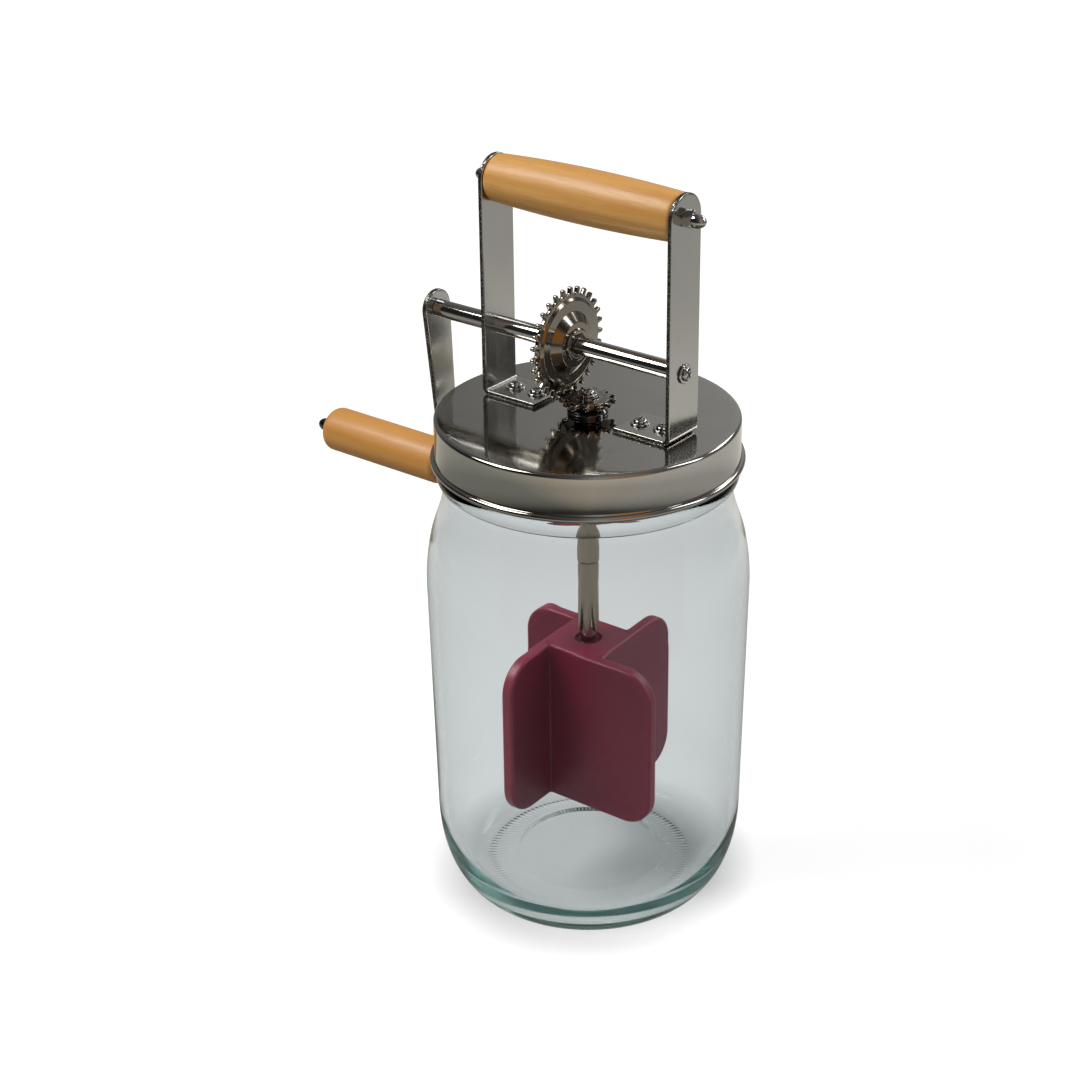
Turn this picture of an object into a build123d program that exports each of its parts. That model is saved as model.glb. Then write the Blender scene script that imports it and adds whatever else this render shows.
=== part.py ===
from build123d import *
from math import cos, hypot, pi, radians, sin
import os

# A hand-cranked mixer on a wide-mouth glass jar. Millimetres, +Z up. The origin is on the jar's
# axis where it rests, the two uprights stand along X and the crank is at the -X end.

os.makedirs("parts", exist_ok=True)

# --- Jar ------------------------------------------------------------------------------------------
jar_height = 171.0
jar_wall = 3.0
jar_floor = 5.0
jar_shoulder_radius = 53.9
jar_heel_radius = 52.4
jar_heel_height = 30.0
jar_foot_radius = 38.0
foot_ring_width = 5.0
push_up = 2.5
shoulder_drop = 58.0         # drops are measured down from the rim
bend_radius, bend_drop = 52.2, 41.0
slope_radius, slope_drop = 48.1, 27.0
neck_radius, neck_drop = 47.5, 22.0
finish_radius = 46.5
finish_length = 14.1
bead_radius = 49.8
bead_length = 6.0
rim_rounding = 1.2

# --- Lid ------------------------------------------------------------------------------------------
lid_radius = 50.0
lid_sheet = 0.7
lid_rounding = 1.2
skirt_length = 14.5          # lid top to the middle of the curl
curl_radius = 1.1
seal_thickness = 1.3
seal_overhang = 0.9          # past the glass rim, on the inside
seal_gap = 0.7               # to the skirt
lug_count = 6
lug_angle = 12.0
lug_thickness = 1.2
lug_gap = 0.6                # to the glass
thread_lead = 10.0
ridge_angle = 38.0
ridge_lead_in = 2.0
ridge_height = 1.8
ridge_tip_thickness = 1.0
ridge_thickness = 2.8        # inside the glass wall
ridge_gap = 0.15

# --- Uprights and carrying handle -----------------------------------------------------------------
handle_length = 72.2
handle_rise = 72.6           # lid top to the handle's axis
handle_end_radius = 7.8
handle_mid_radius = 8.9
handle_rounding = 1.0
strap_width = 16.0
strap_thickness = 1.5
strap_bend = 2.5
foot_length = 21.7
foot_screw_inset = 7.8       # upright's outer face to the first screw
foot_screw_spacing = 8.8

# --- Fasteners ------------------------------------------------------------------------------------
screw_diameter = 3.0
screw_clearance = 0.15
head_diameter = 5.2
head_height = 1.9
head_rounding = 1.1
recess_length = 3.0
recess_width = 0.8
recess_depth = 1.0
washer_diameter = 6.4
washer_thickness = 0.6
nut_across_flats = 5.5
nut_height = 2.4
thread_past_nut = 0.6
cap_hex_height = 3.0
cap_dome_height = 4.0
cap_dome_radius = 2.4
cap_wall = 1.2

# --- Crank ----------------------------------------------------------------------------------------
shaft_diameter = 6.0
stub_diameter = 4.6
running_clearance = 0.08
end_play = 0.1
peened_head = 0.7
peened_overhang = 0.6
end_screw_length = 8.0
arm_standoff = 25.3          # left upright's outer face to the arm
arm_thickness = 1.8
crank_radius = 60.0
crank_lean = 4.5             # the arm's turn at rest, from straight down towards +Y
arm_shaft_radius = 6.3
arm_pin_radius = 4.0
grip_length = 53.7
grip_radius = 7.9
grip_rounding = 3.0
grip_end_web = 3.0
grip_washer_radius = 4.0
grip_washer_thickness = 0.5
pin_diameter = 4.0
pin_head_radius = 3.5
pin_head_height = 1.0

# --- Gears ----------------------------------------------------------------------------------------
gear_teeth = 29
gear_tip_radius = 18.5
gear_sheet = 1.5
gear_tooth_height = 2.4
gear_tooth_width = 1.5
ring_radius = 14.0
ring_rise = 0.8
cone_base_radius = 10.5
cone_top_radius = 7.6
cone_rise = 2.4
collar_radius = 6.3
collar_neck_radius = 5.0
collar_lip_radius = 5.7
collar_lip = 0.8
collar_length = 8.0
pinion_teeth = 13
pinion_addendum = 1.3
pinion_tooth_height = 2.2
pinion_tooth_width = 1.4
pinion_thickness = 1.6
pinion_hub_radius = 3.6
pinion_hub_height = 0.9
mesh_depth = 1.4
mesh_side_gap = 0.2

# --- Spindle and paddle ---------------------------------------------------------------------------
spindle_diameter = 5.0
sleeve_diameter = 7.4
sleeve_length = 52.0         # below the lid top
sleeve_flange_radius = 6.7
sleeve_flange_height = 2.2
sleeve_nut_across_flats = 11.0
sleeve_nut_height = 2.6
spacer_radius = 4.5
spacer_height = 1.4
ferrule_diameter = 7.0
ferrule_gap = 0.3
ferrule_fingers = 6
finger_length = 11.0
finger_turn = 28.0
ferrule_lift = 2.9           # fingers' tips above the paddle
finger_tip_width = 0.5
paddle_drop = 82.6           # lid top to the paddle's top
paddle_height = 58.0
hub_width = 23.8
blade_reach = 21.0
blade_thickness = 4.2
blade_top_rounding = 11.0
blade_bottom_rounding = 10.5
blade_edge_rounding = 1.0
paddle_turn = 1.5
socket_depth = 28.0
socket_mouth_radius = 4.6
socket_mouth_depth = 1.8
socket_gap = 0.3

# --- Places worked out from the sizes above -------------------------------------------------------
lid_top = jar_height + seal_thickness + lid_sheet
lid_under = lid_top - lid_sheet
mouth_radius = finish_radius - jar_wall
curl_height = lid_top - skirt_length
skirt_inner_radius = lid_radius - lid_sheet
lug_top = curl_height + lug_thickness / 2
shoulder_height = jar_height - shoulder_drop
bend_height = jar_height - bend_drop
slope_height = jar_height - slope_drop
neck_height = jar_height - neck_drop
finish_base = jar_height - finish_length
bead_base = finish_base - bead_length

upright_inner = handle_length / 2
upright_outer = upright_inner + strap_thickness
handle_axis = lid_top + handle_rise
foot_top = lid_top + strap_thickness
foot_screw_x = [upright_outer - foot_screw_inset - i * foot_screw_spacing for i in range(2)]
foot_screw_places = [(side * x, 0) for side in (-1, 1) for x in foot_screw_x]
screw_hole_radius = screw_diameter / 2 + screw_clearance
washer_top = foot_top + washer_thickness

flange_top = lid_top + sleeve_flange_height
pinion_base = flange_top + end_play + spacer_height
pinion_top = pinion_base + pinion_thickness
pinion_hub_top = pinion_top + pinion_hub_height
gear_pitch_radius = gear_tip_radius - mesh_depth / 2
pinion_tip_radius = gear_pitch_radius * pinion_teeth / gear_teeth + pinion_addendum
pinion_root_radius = pinion_tip_radius - pinion_tooth_height
gear_root_radius = gear_tip_radius - gear_tooth_height
shaft_axis = pinion_top - mesh_depth + gear_tip_radius
gear_back = -pinion_tip_radius + mesh_side_gap
gear_front = gear_back + gear_sheet
ring_front = gear_front + ring_rise
hub_front = ring_front + cone_rise

shaft_radius = shaft_diameter / 2
stub_radius = stub_diameter / 2
shaft_right = upright_inner - end_play
stub_right = upright_outer + end_play
arm_inner = -upright_outer - arm_standoff
arm_outer = arm_inner - arm_thickness
pin_axis = shaft_axis - crank_radius * cos(radians(crank_lean))
pin_side = crank_radius * sin(radians(crank_lean))
grip_start = arm_outer - grip_washer_thickness - 2 * end_play
grip_end = grip_start - grip_length
pin_shoulder = grip_end + grip_end_web
pin_end = grip_end - end_play
cap_bore_depth = cap_hex_height + cap_dome_height - cap_wall

sleeve_bottom = lid_top - sleeve_length
ferrule_top = sleeve_bottom - ferrule_gap
paddle_top = lid_top - paddle_drop
paddle_bottom = paddle_top - paddle_height
ferrule_bottom = paddle_top + ferrule_lift
spindle_bottom = paddle_top - socket_depth + socket_gap
spindle_radius = spindle_diameter / 2

shaft_line = Axis((0, 0, shaft_axis), (1, 0, 0))
handle_line = Axis((0, 0, handle_axis), (1, 0, 0))
pin_line = Axis((0, pin_side, pin_axis), (1, 0, 0))


def half_plane(angle):
    """Upright plane through the Z axis, its X pointing outwards at this angle from +X."""
    turn = radians(angle)
    return Plane(origin=(0, 0, 0), x_dir=(cos(turn), sin(turn), 0), z_dir=(sin(turn), -cos(turn), 0))


# --- Glass jar ------------------------------------------------------------------------------------
# One ridge of the interrupted thread, a trapezium swept up a right-hand helix.
ridge_start = -lug_angle / 2 - ridge_lead_in
with BuildPart() as ridge:
    with BuildLine(Plane((0, 0, lug_top + ridge_gap)).rotated((0, 0, ridge_start))) as ridge_path:
        Helix(thread_lead, thread_lead * ridge_angle / 360, finish_radius)
    with BuildSketch(half_plane(ridge_start)):
        with Locations((finish_radius, lug_top + ridge_gap)):
            Polygon(
                (-rim_rounding, 0),
                (ridge_height, 0),
                (ridge_height, ridge_tip_thickness),
                (-rim_rounding, ridge_thickness),
                align=None,
            )
    sweep(path=ridge_path.line, is_frenet=True)

# The jar's section is drawn between two ridges, so that its seam crosses none of them.
between_ridges = ridge_start - (360 / lug_count - ridge_angle) / 2
with BuildPart() as jar:
    with BuildSketch(half_plane(between_ridges)):
        with BuildLine():
            foot_inner = jar_foot_radius - foot_ring_width
            Polyline((0, push_up), (foot_inner - push_up, push_up), (foot_inner, 0), (jar_foot_radius, 0))
            heel_run = jar_heel_radius - jar_foot_radius
            EllipticalCenterArc(
                (jar_foot_radius, jar_heel_height), heel_run, jar_heel_height, start_angle=270
            )
            side = Line((jar_heel_radius, jar_heel_height), (jar_shoulder_radius, shoulder_height))
            Spline(
                side @ 1,
                (bend_radius, bend_height),
                (slope_radius, slope_height),
                (neck_radius, neck_height),
                tangents=(side % 1, (0, 1)),
            )
            Line((neck_radius, neck_height), (neck_radius, bead_base))
            ThreePointArc(
                (neck_radius, bead_base),
                (bead_radius, bead_base + bead_length / 2),
                (finish_radius, finish_base),
            )
            Polyline(
                (finish_radius, finish_base),
                (finish_radius, jar_height),
                (mouth_radius, jar_height),
                (mouth_radius, finish_base),
            )
            inner_side = Line(
                (jar_shoulder_radius - jar_wall, shoulder_height), (jar_heel_radius - jar_wall, jar_heel_height)
            )
            Spline(
                (mouth_radius, finish_base),
                (neck_radius - jar_wall, neck_height),
                (slope_radius - jar_wall, slope_height),
                (bend_radius - jar_wall, bend_height),
                inner_side @ 0,
                tangents=((0, -1), inner_side % 0),
            )
            inner_foot = jar_foot_radius - jar_wall
            EllipticalCenterArc(
                (inner_foot, jar_heel_height), heel_run, jar_heel_height - jar_floor, start_angle=270
            )
            Polyline(
                (inner_foot, jar_floor),
                (foot_inner, jar_floor),
                (foot_inner - push_up, jar_floor + push_up),
                (0, jar_floor + push_up),
                (0, push_up),
            )
        make_face()
    revolve(axis=Axis.Z)
    fillet(jar.edges().filter_by(GeomType.CIRCLE).group_by(Axis.Z)[-1], rim_rounding)
    for lug in range(lug_count):
        add(ridge.part.rotate(Axis.Z, lug * 360 / lug_count))
jar.part.label = "jar"
export_step(jar.part, "parts/jar.step")

# --- Seal ring ------------------------------------------------------------------------------------
with BuildPart() as seal_ring:
    with BuildSketch(Plane.XY.offset(jar_height)):
        Circle(skirt_inner_radius - seal_gap)
        Circle(mouth_radius - seal_overhang, mode=Mode.SUBTRACT)
    extrude(amount=seal_thickness)
seal_ring.part.label = "seal_ring"
export_step(seal_ring.part, "parts/seal_ring.step")

# --- Lid ------------------------------------------------------------------------------------------
with BuildPart() as lid_shell:
    with BuildSketch(Plane.XZ):
        with BuildLine():
            Line((0, lid_top), (lid_radius - lid_rounding, lid_top))
            CenterArc((lid_radius - lid_rounding, lid_top - lid_rounding), lid_rounding, 0, 90)
            Polyline(
                (lid_radius, lid_top - lid_rounding),
                (lid_radius, curl_height),
                (skirt_inner_radius, curl_height),
                (skirt_inner_radius, lid_top - lid_rounding),
            )
            CenterArc((lid_radius - lid_rounding, lid_top - lid_rounding), lid_rounding - lid_sheet, 0, 90)
            Polyline((lid_radius - lid_rounding, lid_under), (0, lid_under), (0, lid_top))
        make_face()
        with Locations((skirt_inner_radius + curl_radius, curl_height)):
            Circle(curl_radius)
    revolve(axis=Axis.Z)
    for lug in range(lug_count):
        with BuildSketch(half_plane(lug * 360 / lug_count - lug_angle / 2)):
            lug_inner = finish_radius + lug_gap
            with Locations((lug_inner, curl_height)):
                Rectangle(lid_radius - lug_inner, lug_thickness, align=(Align.MIN, Align.CENTER))
        revolve(axis=Axis.Z, revolution_arc=lug_angle)
    with BuildSketch(Plane.XY.offset(lid_under)):
        Circle(sleeve_diameter / 2)
        with Locations(*foot_screw_places):
            Circle(screw_hole_radius)
    extrude(amount=lid_sheet, mode=Mode.SUBTRACT)
lid_shell.part.label = "lid_shell"
export_step(lid_shell.part, "parts/lid_shell.step")

# --- Uprights -------------------------------------------------------------------------------------
# A strap with a domed top and a foot turned inwards. The right one has the smaller shaft hole.
with BuildPart() as right_upright:
    with BuildSketch(Plane.XZ) as strap_section:
        with BuildLine():
            Polyline(
                (upright_outer, handle_axis),
                (upright_outer, lid_top),
                (upright_outer - foot_length, lid_top),
                (upright_outer - foot_length, foot_top),
                (upright_inner, foot_top),
                (upright_inner, handle_axis),
                close=True,
            )
        make_face()
        bend_corners = strap_section.vertices().sort_by_distance((upright_outer, lid_top))
        fillet(bend_corners[0], strap_bend)
        inner_corner = strap_section.vertices().sort_by_distance((upright_inner, foot_top))
        fillet(inner_corner[0], strap_bend - strap_thickness)
    extrude(amount=strap_width / 2, both=True)
    with BuildSketch(Plane.YZ.offset(upright_inner)):
        with Locations((0, handle_axis)):
            Circle(strap_width / 2)
    extrude(amount=strap_thickness)
    with BuildSketch(Plane.YZ.offset(upright_inner)):
        with Locations((0, handle_axis)):
            Circle(screw_hole_radius)
        with Locations((0, shaft_axis)):
            Circle(stub_radius + running_clearance)
    extrude(amount=strap_thickness, mode=Mode.SUBTRACT)
    with BuildSketch(Plane.XY.offset(lid_top)):
        with Locations(*[(x, 0) for x in foot_screw_x]):
            Circle(screw_hole_radius)
    extrude(amount=strap_thickness, mode=Mode.SUBTRACT)
right_upright.part.label = "right_upright"
export_step(right_upright.part, "parts/right_upright.step")

with BuildPart() as left_upright:
    add(mirror(right_upright.part, about=Plane.YZ))
    with BuildSketch(Plane.YZ.offset(-upright_outer)):
        with Locations((0, shaft_axis)):
            Circle(shaft_radius + running_clearance)
    extrude(amount=strap_thickness, mode=Mode.SUBTRACT)
left_upright.part.label = "left_upright"
export_step(left_upright.part, "parts/left_upright.step")

# --- Foot fasteners -------------------------------------------------------------------------------
with BuildPart() as foot_washers:
    with BuildSketch(Plane.XY.offset(foot_top)):
        with Locations(*foot_screw_places):
            Circle(washer_diameter / 2)
            Circle(screw_hole_radius, mode=Mode.SUBTRACT)
    extrude(amount=washer_thickness)
foot_washers.part.label = "foot_washers"
export_step(foot_washers.part, "parts/foot_washers.step")

with BuildPart() as foot_screws:
    with BuildSketch(Plane.XY.offset(washer_top)):
        with Locations(*foot_screw_places):
            Circle(head_diameter / 2)
    extrude(amount=head_height)
    fillet(foot_screws.edges().group_by(Axis.Z)[-1], head_rounding)
    with BuildSketch(Plane.XY.offset(washer_top + head_height)):
        with Locations(*foot_screw_places):
            Rectangle(recess_length, recess_width)
            Rectangle(recess_width, recess_length)
    extrude(amount=-recess_depth, mode=Mode.SUBTRACT)
    with BuildSketch(Plane.XY.offset(washer_top)):
        with Locations(*foot_screw_places):
            Circle(screw_diameter / 2)
    extrude(amount=lid_under - nut_height - thread_past_nut - washer_top)
foot_screws.part.label = "foot_screws"
export_step(foot_screws.part, "parts/foot_screws.step")

with BuildPart() as foot_nuts:
    with BuildSketch(Plane.XY.offset(lid_under)):
        with Locations(*foot_screw_places):
            RegularPolygon(nut_across_flats / 2, 6, major_radius=False)
            Circle(screw_diameter / 2, mode=Mode.SUBTRACT)
    extrude(amount=-nut_height)
foot_nuts.part.label = "foot_nuts"
export_step(foot_nuts.part, "parts/foot_nuts.step")

# --- Carrying handle ------------------------------------------------------------------------------
with BuildPart() as handle_grip:
    with BuildSketch(Plane.XZ):
        with BuildLine():
            Line(
                (-upright_inner, handle_axis + screw_hole_radius),
                (-upright_inner, handle_axis + handle_end_radius),
            )
            ThreePointArc(
                (-upright_inner, handle_axis + handle_end_radius),
                (0, handle_axis + handle_mid_radius),
                (upright_inner, handle_axis + handle_end_radius),
            )
            Polyline(
                (upright_inner, handle_axis + handle_end_radius),
                (upright_inner, handle_axis + screw_hole_radius),
                (-upright_inner, handle_axis + screw_hole_radius),
            )
        make_face()
    revolve(axis=handle_line)
    handle_rims = handle_grip.edges().filter_by(GeomType.CIRCLE)
    fillet(handle_rims.filter_by(lambda rim: rim.radius > screw_diameter), handle_rounding)
handle_grip.part.label = "handle_grip"
export_step(handle_grip.part, "parts/handle_grip.step")

with BuildPart() as handle_rod:
    with BuildSketch(Plane.YZ):
        with Locations((0, handle_axis)):
            Circle(screw_diameter / 2)
    extrude(amount=upright_outer + cap_bore_depth, both=True)
handle_rod.part.label = "handle_rod"
export_step(handle_rod.part, "parts/handle_rod.step")


def cap_nut():
    """An acorn nut on the X axis, its hexagon on the YZ plane and its dome towards +X."""
    with BuildPart() as nut:
        with BuildSketch(Plane.YZ):
            RegularPolygon(nut_across_flats / 2, 6, major_radius=False)
        extrude(amount=cap_hex_height)
        with BuildSketch(Plane.XZ):
            with Locations((cap_hex_height, 0)):
                Ellipse(cap_dome_height, cap_dome_radius)
                box = (2 * cap_dome_height, 2 * cap_dome_radius)
                Rectangle(*box, align=(Align.MAX, Align.CENTER), mode=Mode.SUBTRACT)
                Rectangle(*box, align=(Align.CENTER, Align.MAX), mode=Mode.SUBTRACT)
        revolve(axis=Axis.X)
        with BuildSketch(Plane.YZ):
            Circle(screw_diameter / 2)
        extrude(amount=cap_bore_depth, mode=Mode.SUBTRACT)
    return nut.part


right_cap_nut = cap_nut().moved(Location((upright_outer, 0, handle_axis)))
with BuildPart() as handle_cap_nuts:
    add(right_cap_nut)
    add(mirror(right_cap_nut, about=Plane.YZ))
handle_cap_nuts.part.label = "handle_cap_nuts"
export_step(handle_cap_nuts.part, "parts/handle_cap_nuts.step")

# --- Bearing sleeve through the lid ---------------------------------------------------------------
with BuildPart() as bearing_sleeve:
    with BuildSketch(Plane.XY.offset(sleeve_bottom)):
        Circle(sleeve_diameter / 2)
    extrude(amount=flange_top - sleeve_bottom)
    with BuildSketch(Plane.XY.offset(lid_top)):
        Circle(sleeve_flange_radius)
    extrude(amount=sleeve_flange_height)
    with BuildSketch(Plane.XY.offset(sleeve_bottom)):
        Circle(spindle_radius + running_clearance)
    extrude(amount=flange_top - sleeve_bottom, mode=Mode.SUBTRACT)
bearing_sleeve.part.label = "bearing_sleeve"
export_step(bearing_sleeve.part, "parts/bearing_sleeve.step")

with BuildPart() as sleeve_nut:
    with BuildSketch(Plane.XY.offset(lid_under)):
        RegularPolygon(sleeve_nut_across_flats / 2, 6, major_radius=False)
        Circle(sleeve_diameter / 2, mode=Mode.SUBTRACT)
    extrude(amount=-sleeve_nut_height)
sleeve_nut.part.label = "sleeve_nut"
export_step(sleeve_nut.part, "parts/sleeve_nut.step")

# --- Crank shaft ----------------------------------------------------------------------------------
with BuildPart() as crank_shaft:
    with BuildSketch(Plane.XZ):
        peened_end = arm_outer - peened_head
        with BuildLine():
            Polyline(
                (peened_end, shaft_axis),
                (peened_end, shaft_axis + stub_radius),
                (arm_outer, shaft_axis + stub_radius + peened_overhang),
                (arm_outer, shaft_axis + stub_radius),
                (arm_inner, shaft_axis + stub_radius),
                (arm_inner, shaft_axis + shaft_radius),
                (shaft_right, shaft_axis + shaft_radius),
                (shaft_right, shaft_axis + stub_radius),
                (stub_right, shaft_axis + stub_radius),
                (stub_right, shaft_axis + screw_diameter / 2),
                (stub_right - end_screw_length, shaft_axis + screw_diameter / 2),
                (stub_right - end_screw_length, shaft_axis),
                close=True,
            )
        make_face()
    revolve(axis=shaft_line)
crank_shaft.part.label = "crank_shaft"
export_step(crank_shaft.part, "parts/crank_shaft.step")

with BuildPart() as shaft_end_washer:
    with BuildSketch(Plane.YZ.offset(stub_right)):
        with Locations((0, shaft_axis)):
            Circle(washer_diameter / 2)
            Circle(screw_hole_radius, mode=Mode.SUBTRACT)
    extrude(amount=washer_thickness)
shaft_end_washer.part.label = "shaft_end_washer"
export_step(shaft_end_washer.part, "parts/shaft_end_washer.step")

with BuildPart() as shaft_end_screw:
    end_head = stub_right + washer_thickness
    with BuildSketch(Plane.YZ.offset(end_head)):
        with Locations((0, shaft_axis)):
            Circle(head_diameter / 2)
    extrude(amount=head_height)
    fillet(shaft_end_screw.edges().group_by(Axis.X)[-1], head_rounding)
    with BuildSketch(Plane.YZ.offset(end_head + head_height)):
        with Locations((0, shaft_axis)):
            Rectangle(recess_length, recess_width)
            Rectangle(recess_width, recess_length)
    extrude(amount=-recess_depth, mode=Mode.SUBTRACT)
    with BuildSketch(Plane.YZ.offset(end_head)):
        with Locations((0, shaft_axis)):
            Circle(screw_diameter / 2)
    extrude(amount=-washer_thickness - end_screw_length + screw_clearance)
shaft_end_screw.part.label = "shaft_end_screw"
export_step(shaft_end_screw.part, "parts/shaft_end_screw.step")

# --- Crank arm, pin and grip ----------------------------------------------------------------------
with BuildPart() as crank_arm:
    with BuildSketch(Plane.YZ.offset(arm_outer)):
        with Locations((0, shaft_axis)):
            Circle(arm_shaft_radius)
        with Locations((pin_side, pin_axis)):
            Circle(arm_pin_radius)
        make_hull()
        with Locations((0, shaft_axis)):
            Circle(stub_radius, mode=Mode.SUBTRACT)
        with Locations((pin_side, pin_axis)):
            Circle(pin_diameter / 2, mode=Mode.SUBTRACT)
    extrude(amount=arm_thickness)
crank_arm.part.label = "crank_arm"
export_step(crank_arm.part, "parts/crank_arm.step")

with BuildPart() as grip_pin:
    with BuildSketch(Plane.XZ.offset(-pin_side)):
        with BuildLine():
            Polyline(
                (pin_end - cap_bore_depth, pin_axis),
                (arm_inner + pin_head_height, pin_axis),
                (arm_inner + pin_head_height, pin_axis + pin_head_radius),
                (arm_inner, pin_axis + pin_head_radius),
                (arm_inner, pin_axis + pin_diameter / 2),
                (pin_shoulder, pin_axis + pin_diameter / 2),
                (pin_shoulder, pin_axis + screw_diameter / 2),
                (pin_end - cap_bore_depth, pin_axis + screw_diameter / 2),
                close=True,
            )
        make_face()
    revolve(axis=pin_line)
grip_pin.part.label = "grip_pin"
export_step(grip_pin.part, "parts/grip_pin.step")

with BuildPart() as grip_washer:
    with BuildSketch(Plane.YZ.offset(arm_outer)):
        with Locations((pin_side, pin_axis)):
            Circle(grip_washer_radius)
            Circle(pin_diameter / 2, mode=Mode.SUBTRACT)
    extrude(amount=-grip_washer_thickness)
grip_washer.part.label = "grip_washer"
export_step(grip_washer.part, "parts/grip_washer.step")

with BuildPart() as crank_grip:
    with BuildSketch(Plane.YZ.offset(grip_end)):
        with Locations((pin_side, pin_axis)):
            Circle(grip_radius)
    extrude(amount=grip_length)
    fillet(crank_grip.edges().filter_by(GeomType.CIRCLE), grip_rounding)
    with BuildSketch(Plane.YZ.offset(grip_end)):
        with Locations((pin_side, pin_axis)):
            Circle(screw_diameter / 2 + running_clearance)
    extrude(amount=grip_end_web, mode=Mode.SUBTRACT)
    with BuildSketch(Plane.YZ.offset(pin_shoulder - end_play)):
        with Locations((pin_side, pin_axis)):
            Circle(pin_diameter / 2 + running_clearance)
    extrude(amount=grip_length, mode=Mode.SUBTRACT)
crank_grip.part.label = "crank_grip"
export_step(crank_grip.part, "parts/crank_grip.step")

grip_cap_nut = mirror(cap_nut(), about=Plane.YZ).moved(Location((pin_end, pin_side, pin_axis)))
grip_cap_nut.label = "grip_cap_nut"
export_step(grip_cap_nut, "parts/grip_cap_nut.step")

# --- Drive gear -----------------------------------------------------------------------------------
# A pressed disc: finger teeth round a flat rim, a raised ring, and a cone that carries the collar.
with BuildPart() as drive_gear:
    with BuildSketch(Plane.YZ.offset(gear_back)):
        with Locations((0, shaft_axis)):
            Circle(gear_root_radius)
            Circle(ring_radius, mode=Mode.SUBTRACT)
            with PolarLocations(gear_root_radius, gear_teeth, start_angle=-90):
                SlotOverall(2 * gear_tooth_height, gear_tooth_width)
    extrude(amount=gear_sheet)
    with BuildSketch(Plane.XZ):
        with BuildLine():
            Polyline(
                (gear_front, shaft_axis + ring_radius + ring_rise),
                (ring_front, shaft_axis + ring_radius),
                (ring_front, shaft_axis + cone_base_radius),
                (hub_front, shaft_axis + cone_top_radius),
                (hub_front, shaft_axis + collar_neck_radius),
                (hub_front - gear_sheet, shaft_axis + collar_neck_radius),
                (hub_front - gear_sheet, shaft_axis + cone_top_radius - gear_sheet / 2),
                (ring_front - gear_sheet, shaft_axis + cone_base_radius - gear_sheet / 2),
                (ring_front - gear_sheet, shaft_axis + ring_radius - gear_sheet / 2),
                (gear_back, shaft_axis + ring_radius),
                (gear_back, shaft_axis + ring_radius + ring_rise),
                close=True,
            )
        make_face()
    revolve(axis=shaft_line)
drive_gear.part.label = "drive_gear"
export_step(drive_gear.part, "parts/drive_gear.step")

with BuildPart() as gear_collar:
    collar_shoulder = hub_front - gear_sheet
    with BuildSketch(Plane.XZ):
        with BuildLine():
            Polyline(
                (collar_shoulder - collar_length, shaft_axis + shaft_radius),
                (collar_shoulder - collar_length, shaft_axis + collar_radius),
                (collar_shoulder, shaft_axis + collar_radius),
                (collar_shoulder, shaft_axis + collar_neck_radius),
                (hub_front, shaft_axis + collar_neck_radius),
                (hub_front, shaft_axis + collar_lip_radius),
                (hub_front + collar_lip, shaft_axis + collar_neck_radius),
                (hub_front + collar_lip, shaft_axis + shaft_radius),
                close=True,
            )
        make_face()
    revolve(axis=shaft_line)
    set_screw_x = collar_shoulder - collar_length / 2
    with BuildSketch(Plane.XY.offset(shaft_axis)):
        with Locations((set_screw_x, 0)):
            Circle(screw_diameter / 2)
    extrude(amount=collar_radius, mode=Mode.SUBTRACT)
gear_collar.part.label = "gear_collar"
export_step(gear_collar.part, "parts/gear_collar.step")

with BuildPart() as collar_set_screw:
    with BuildSketch(Plane.XY.offset(shaft_axis + shaft_radius)):
        with Locations((set_screw_x, 0)):
            Circle(screw_diameter / 2)
    extrude(amount=collar_radius - shaft_radius)
    with BuildSketch(Plane.XY.offset(shaft_axis + collar_radius)):
        with Locations((set_screw_x, 0)):
            Rectangle(screw_diameter, recess_width)
    extrude(amount=-recess_depth, mode=Mode.SUBTRACT)
collar_set_screw.part.label = "collar_set_screw"
export_step(collar_set_screw.part, "parts/collar_set_screw.step")

# --- Pinion and spindle ---------------------------------------------------------------------------
with BuildPart() as pinion:
    with BuildSketch(Plane.XY.offset(pinion_base)):
        Circle(pinion_root_radius)
        with PolarLocations(pinion_root_radius, pinion_teeth, start_angle=180 + 180 / pinion_teeth):
            SlotOverall(2 * pinion_tooth_height, pinion_tooth_width)
        Circle(spindle_radius, mode=Mode.SUBTRACT)
    extrude(amount=pinion_thickness)
    with BuildSketch(Plane.XY.offset(pinion_top)):
        Circle(pinion_hub_radius)
        Circle(spindle_radius, mode=Mode.SUBTRACT)
    extrude(amount=pinion_hub_height)
pinion.part.label = "pinion"
export_step(pinion.part, "parts/pinion.step")

with BuildPart() as pinion_spacer:
    with BuildSketch(Plane.XY.offset(pinion_base)):
        Circle(spacer_radius)
        Circle(spindle_radius, mode=Mode.SUBTRACT)
    extrude(amount=-spacer_height)
pinion_spacer.part.label = "pinion_spacer"
export_step(pinion_spacer.part, "parts/pinion_spacer.step")

with BuildPart() as pinion_washer:
    with BuildSketch(Plane.XY.offset(pinion_hub_top)):
        Circle(washer_diameter / 2)
        Circle(screw_hole_radius, mode=Mode.SUBTRACT)
    extrude(amount=washer_thickness)
pinion_washer.part.label = "pinion_washer"
export_step(pinion_washer.part, "parts/pinion_washer.step")

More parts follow.
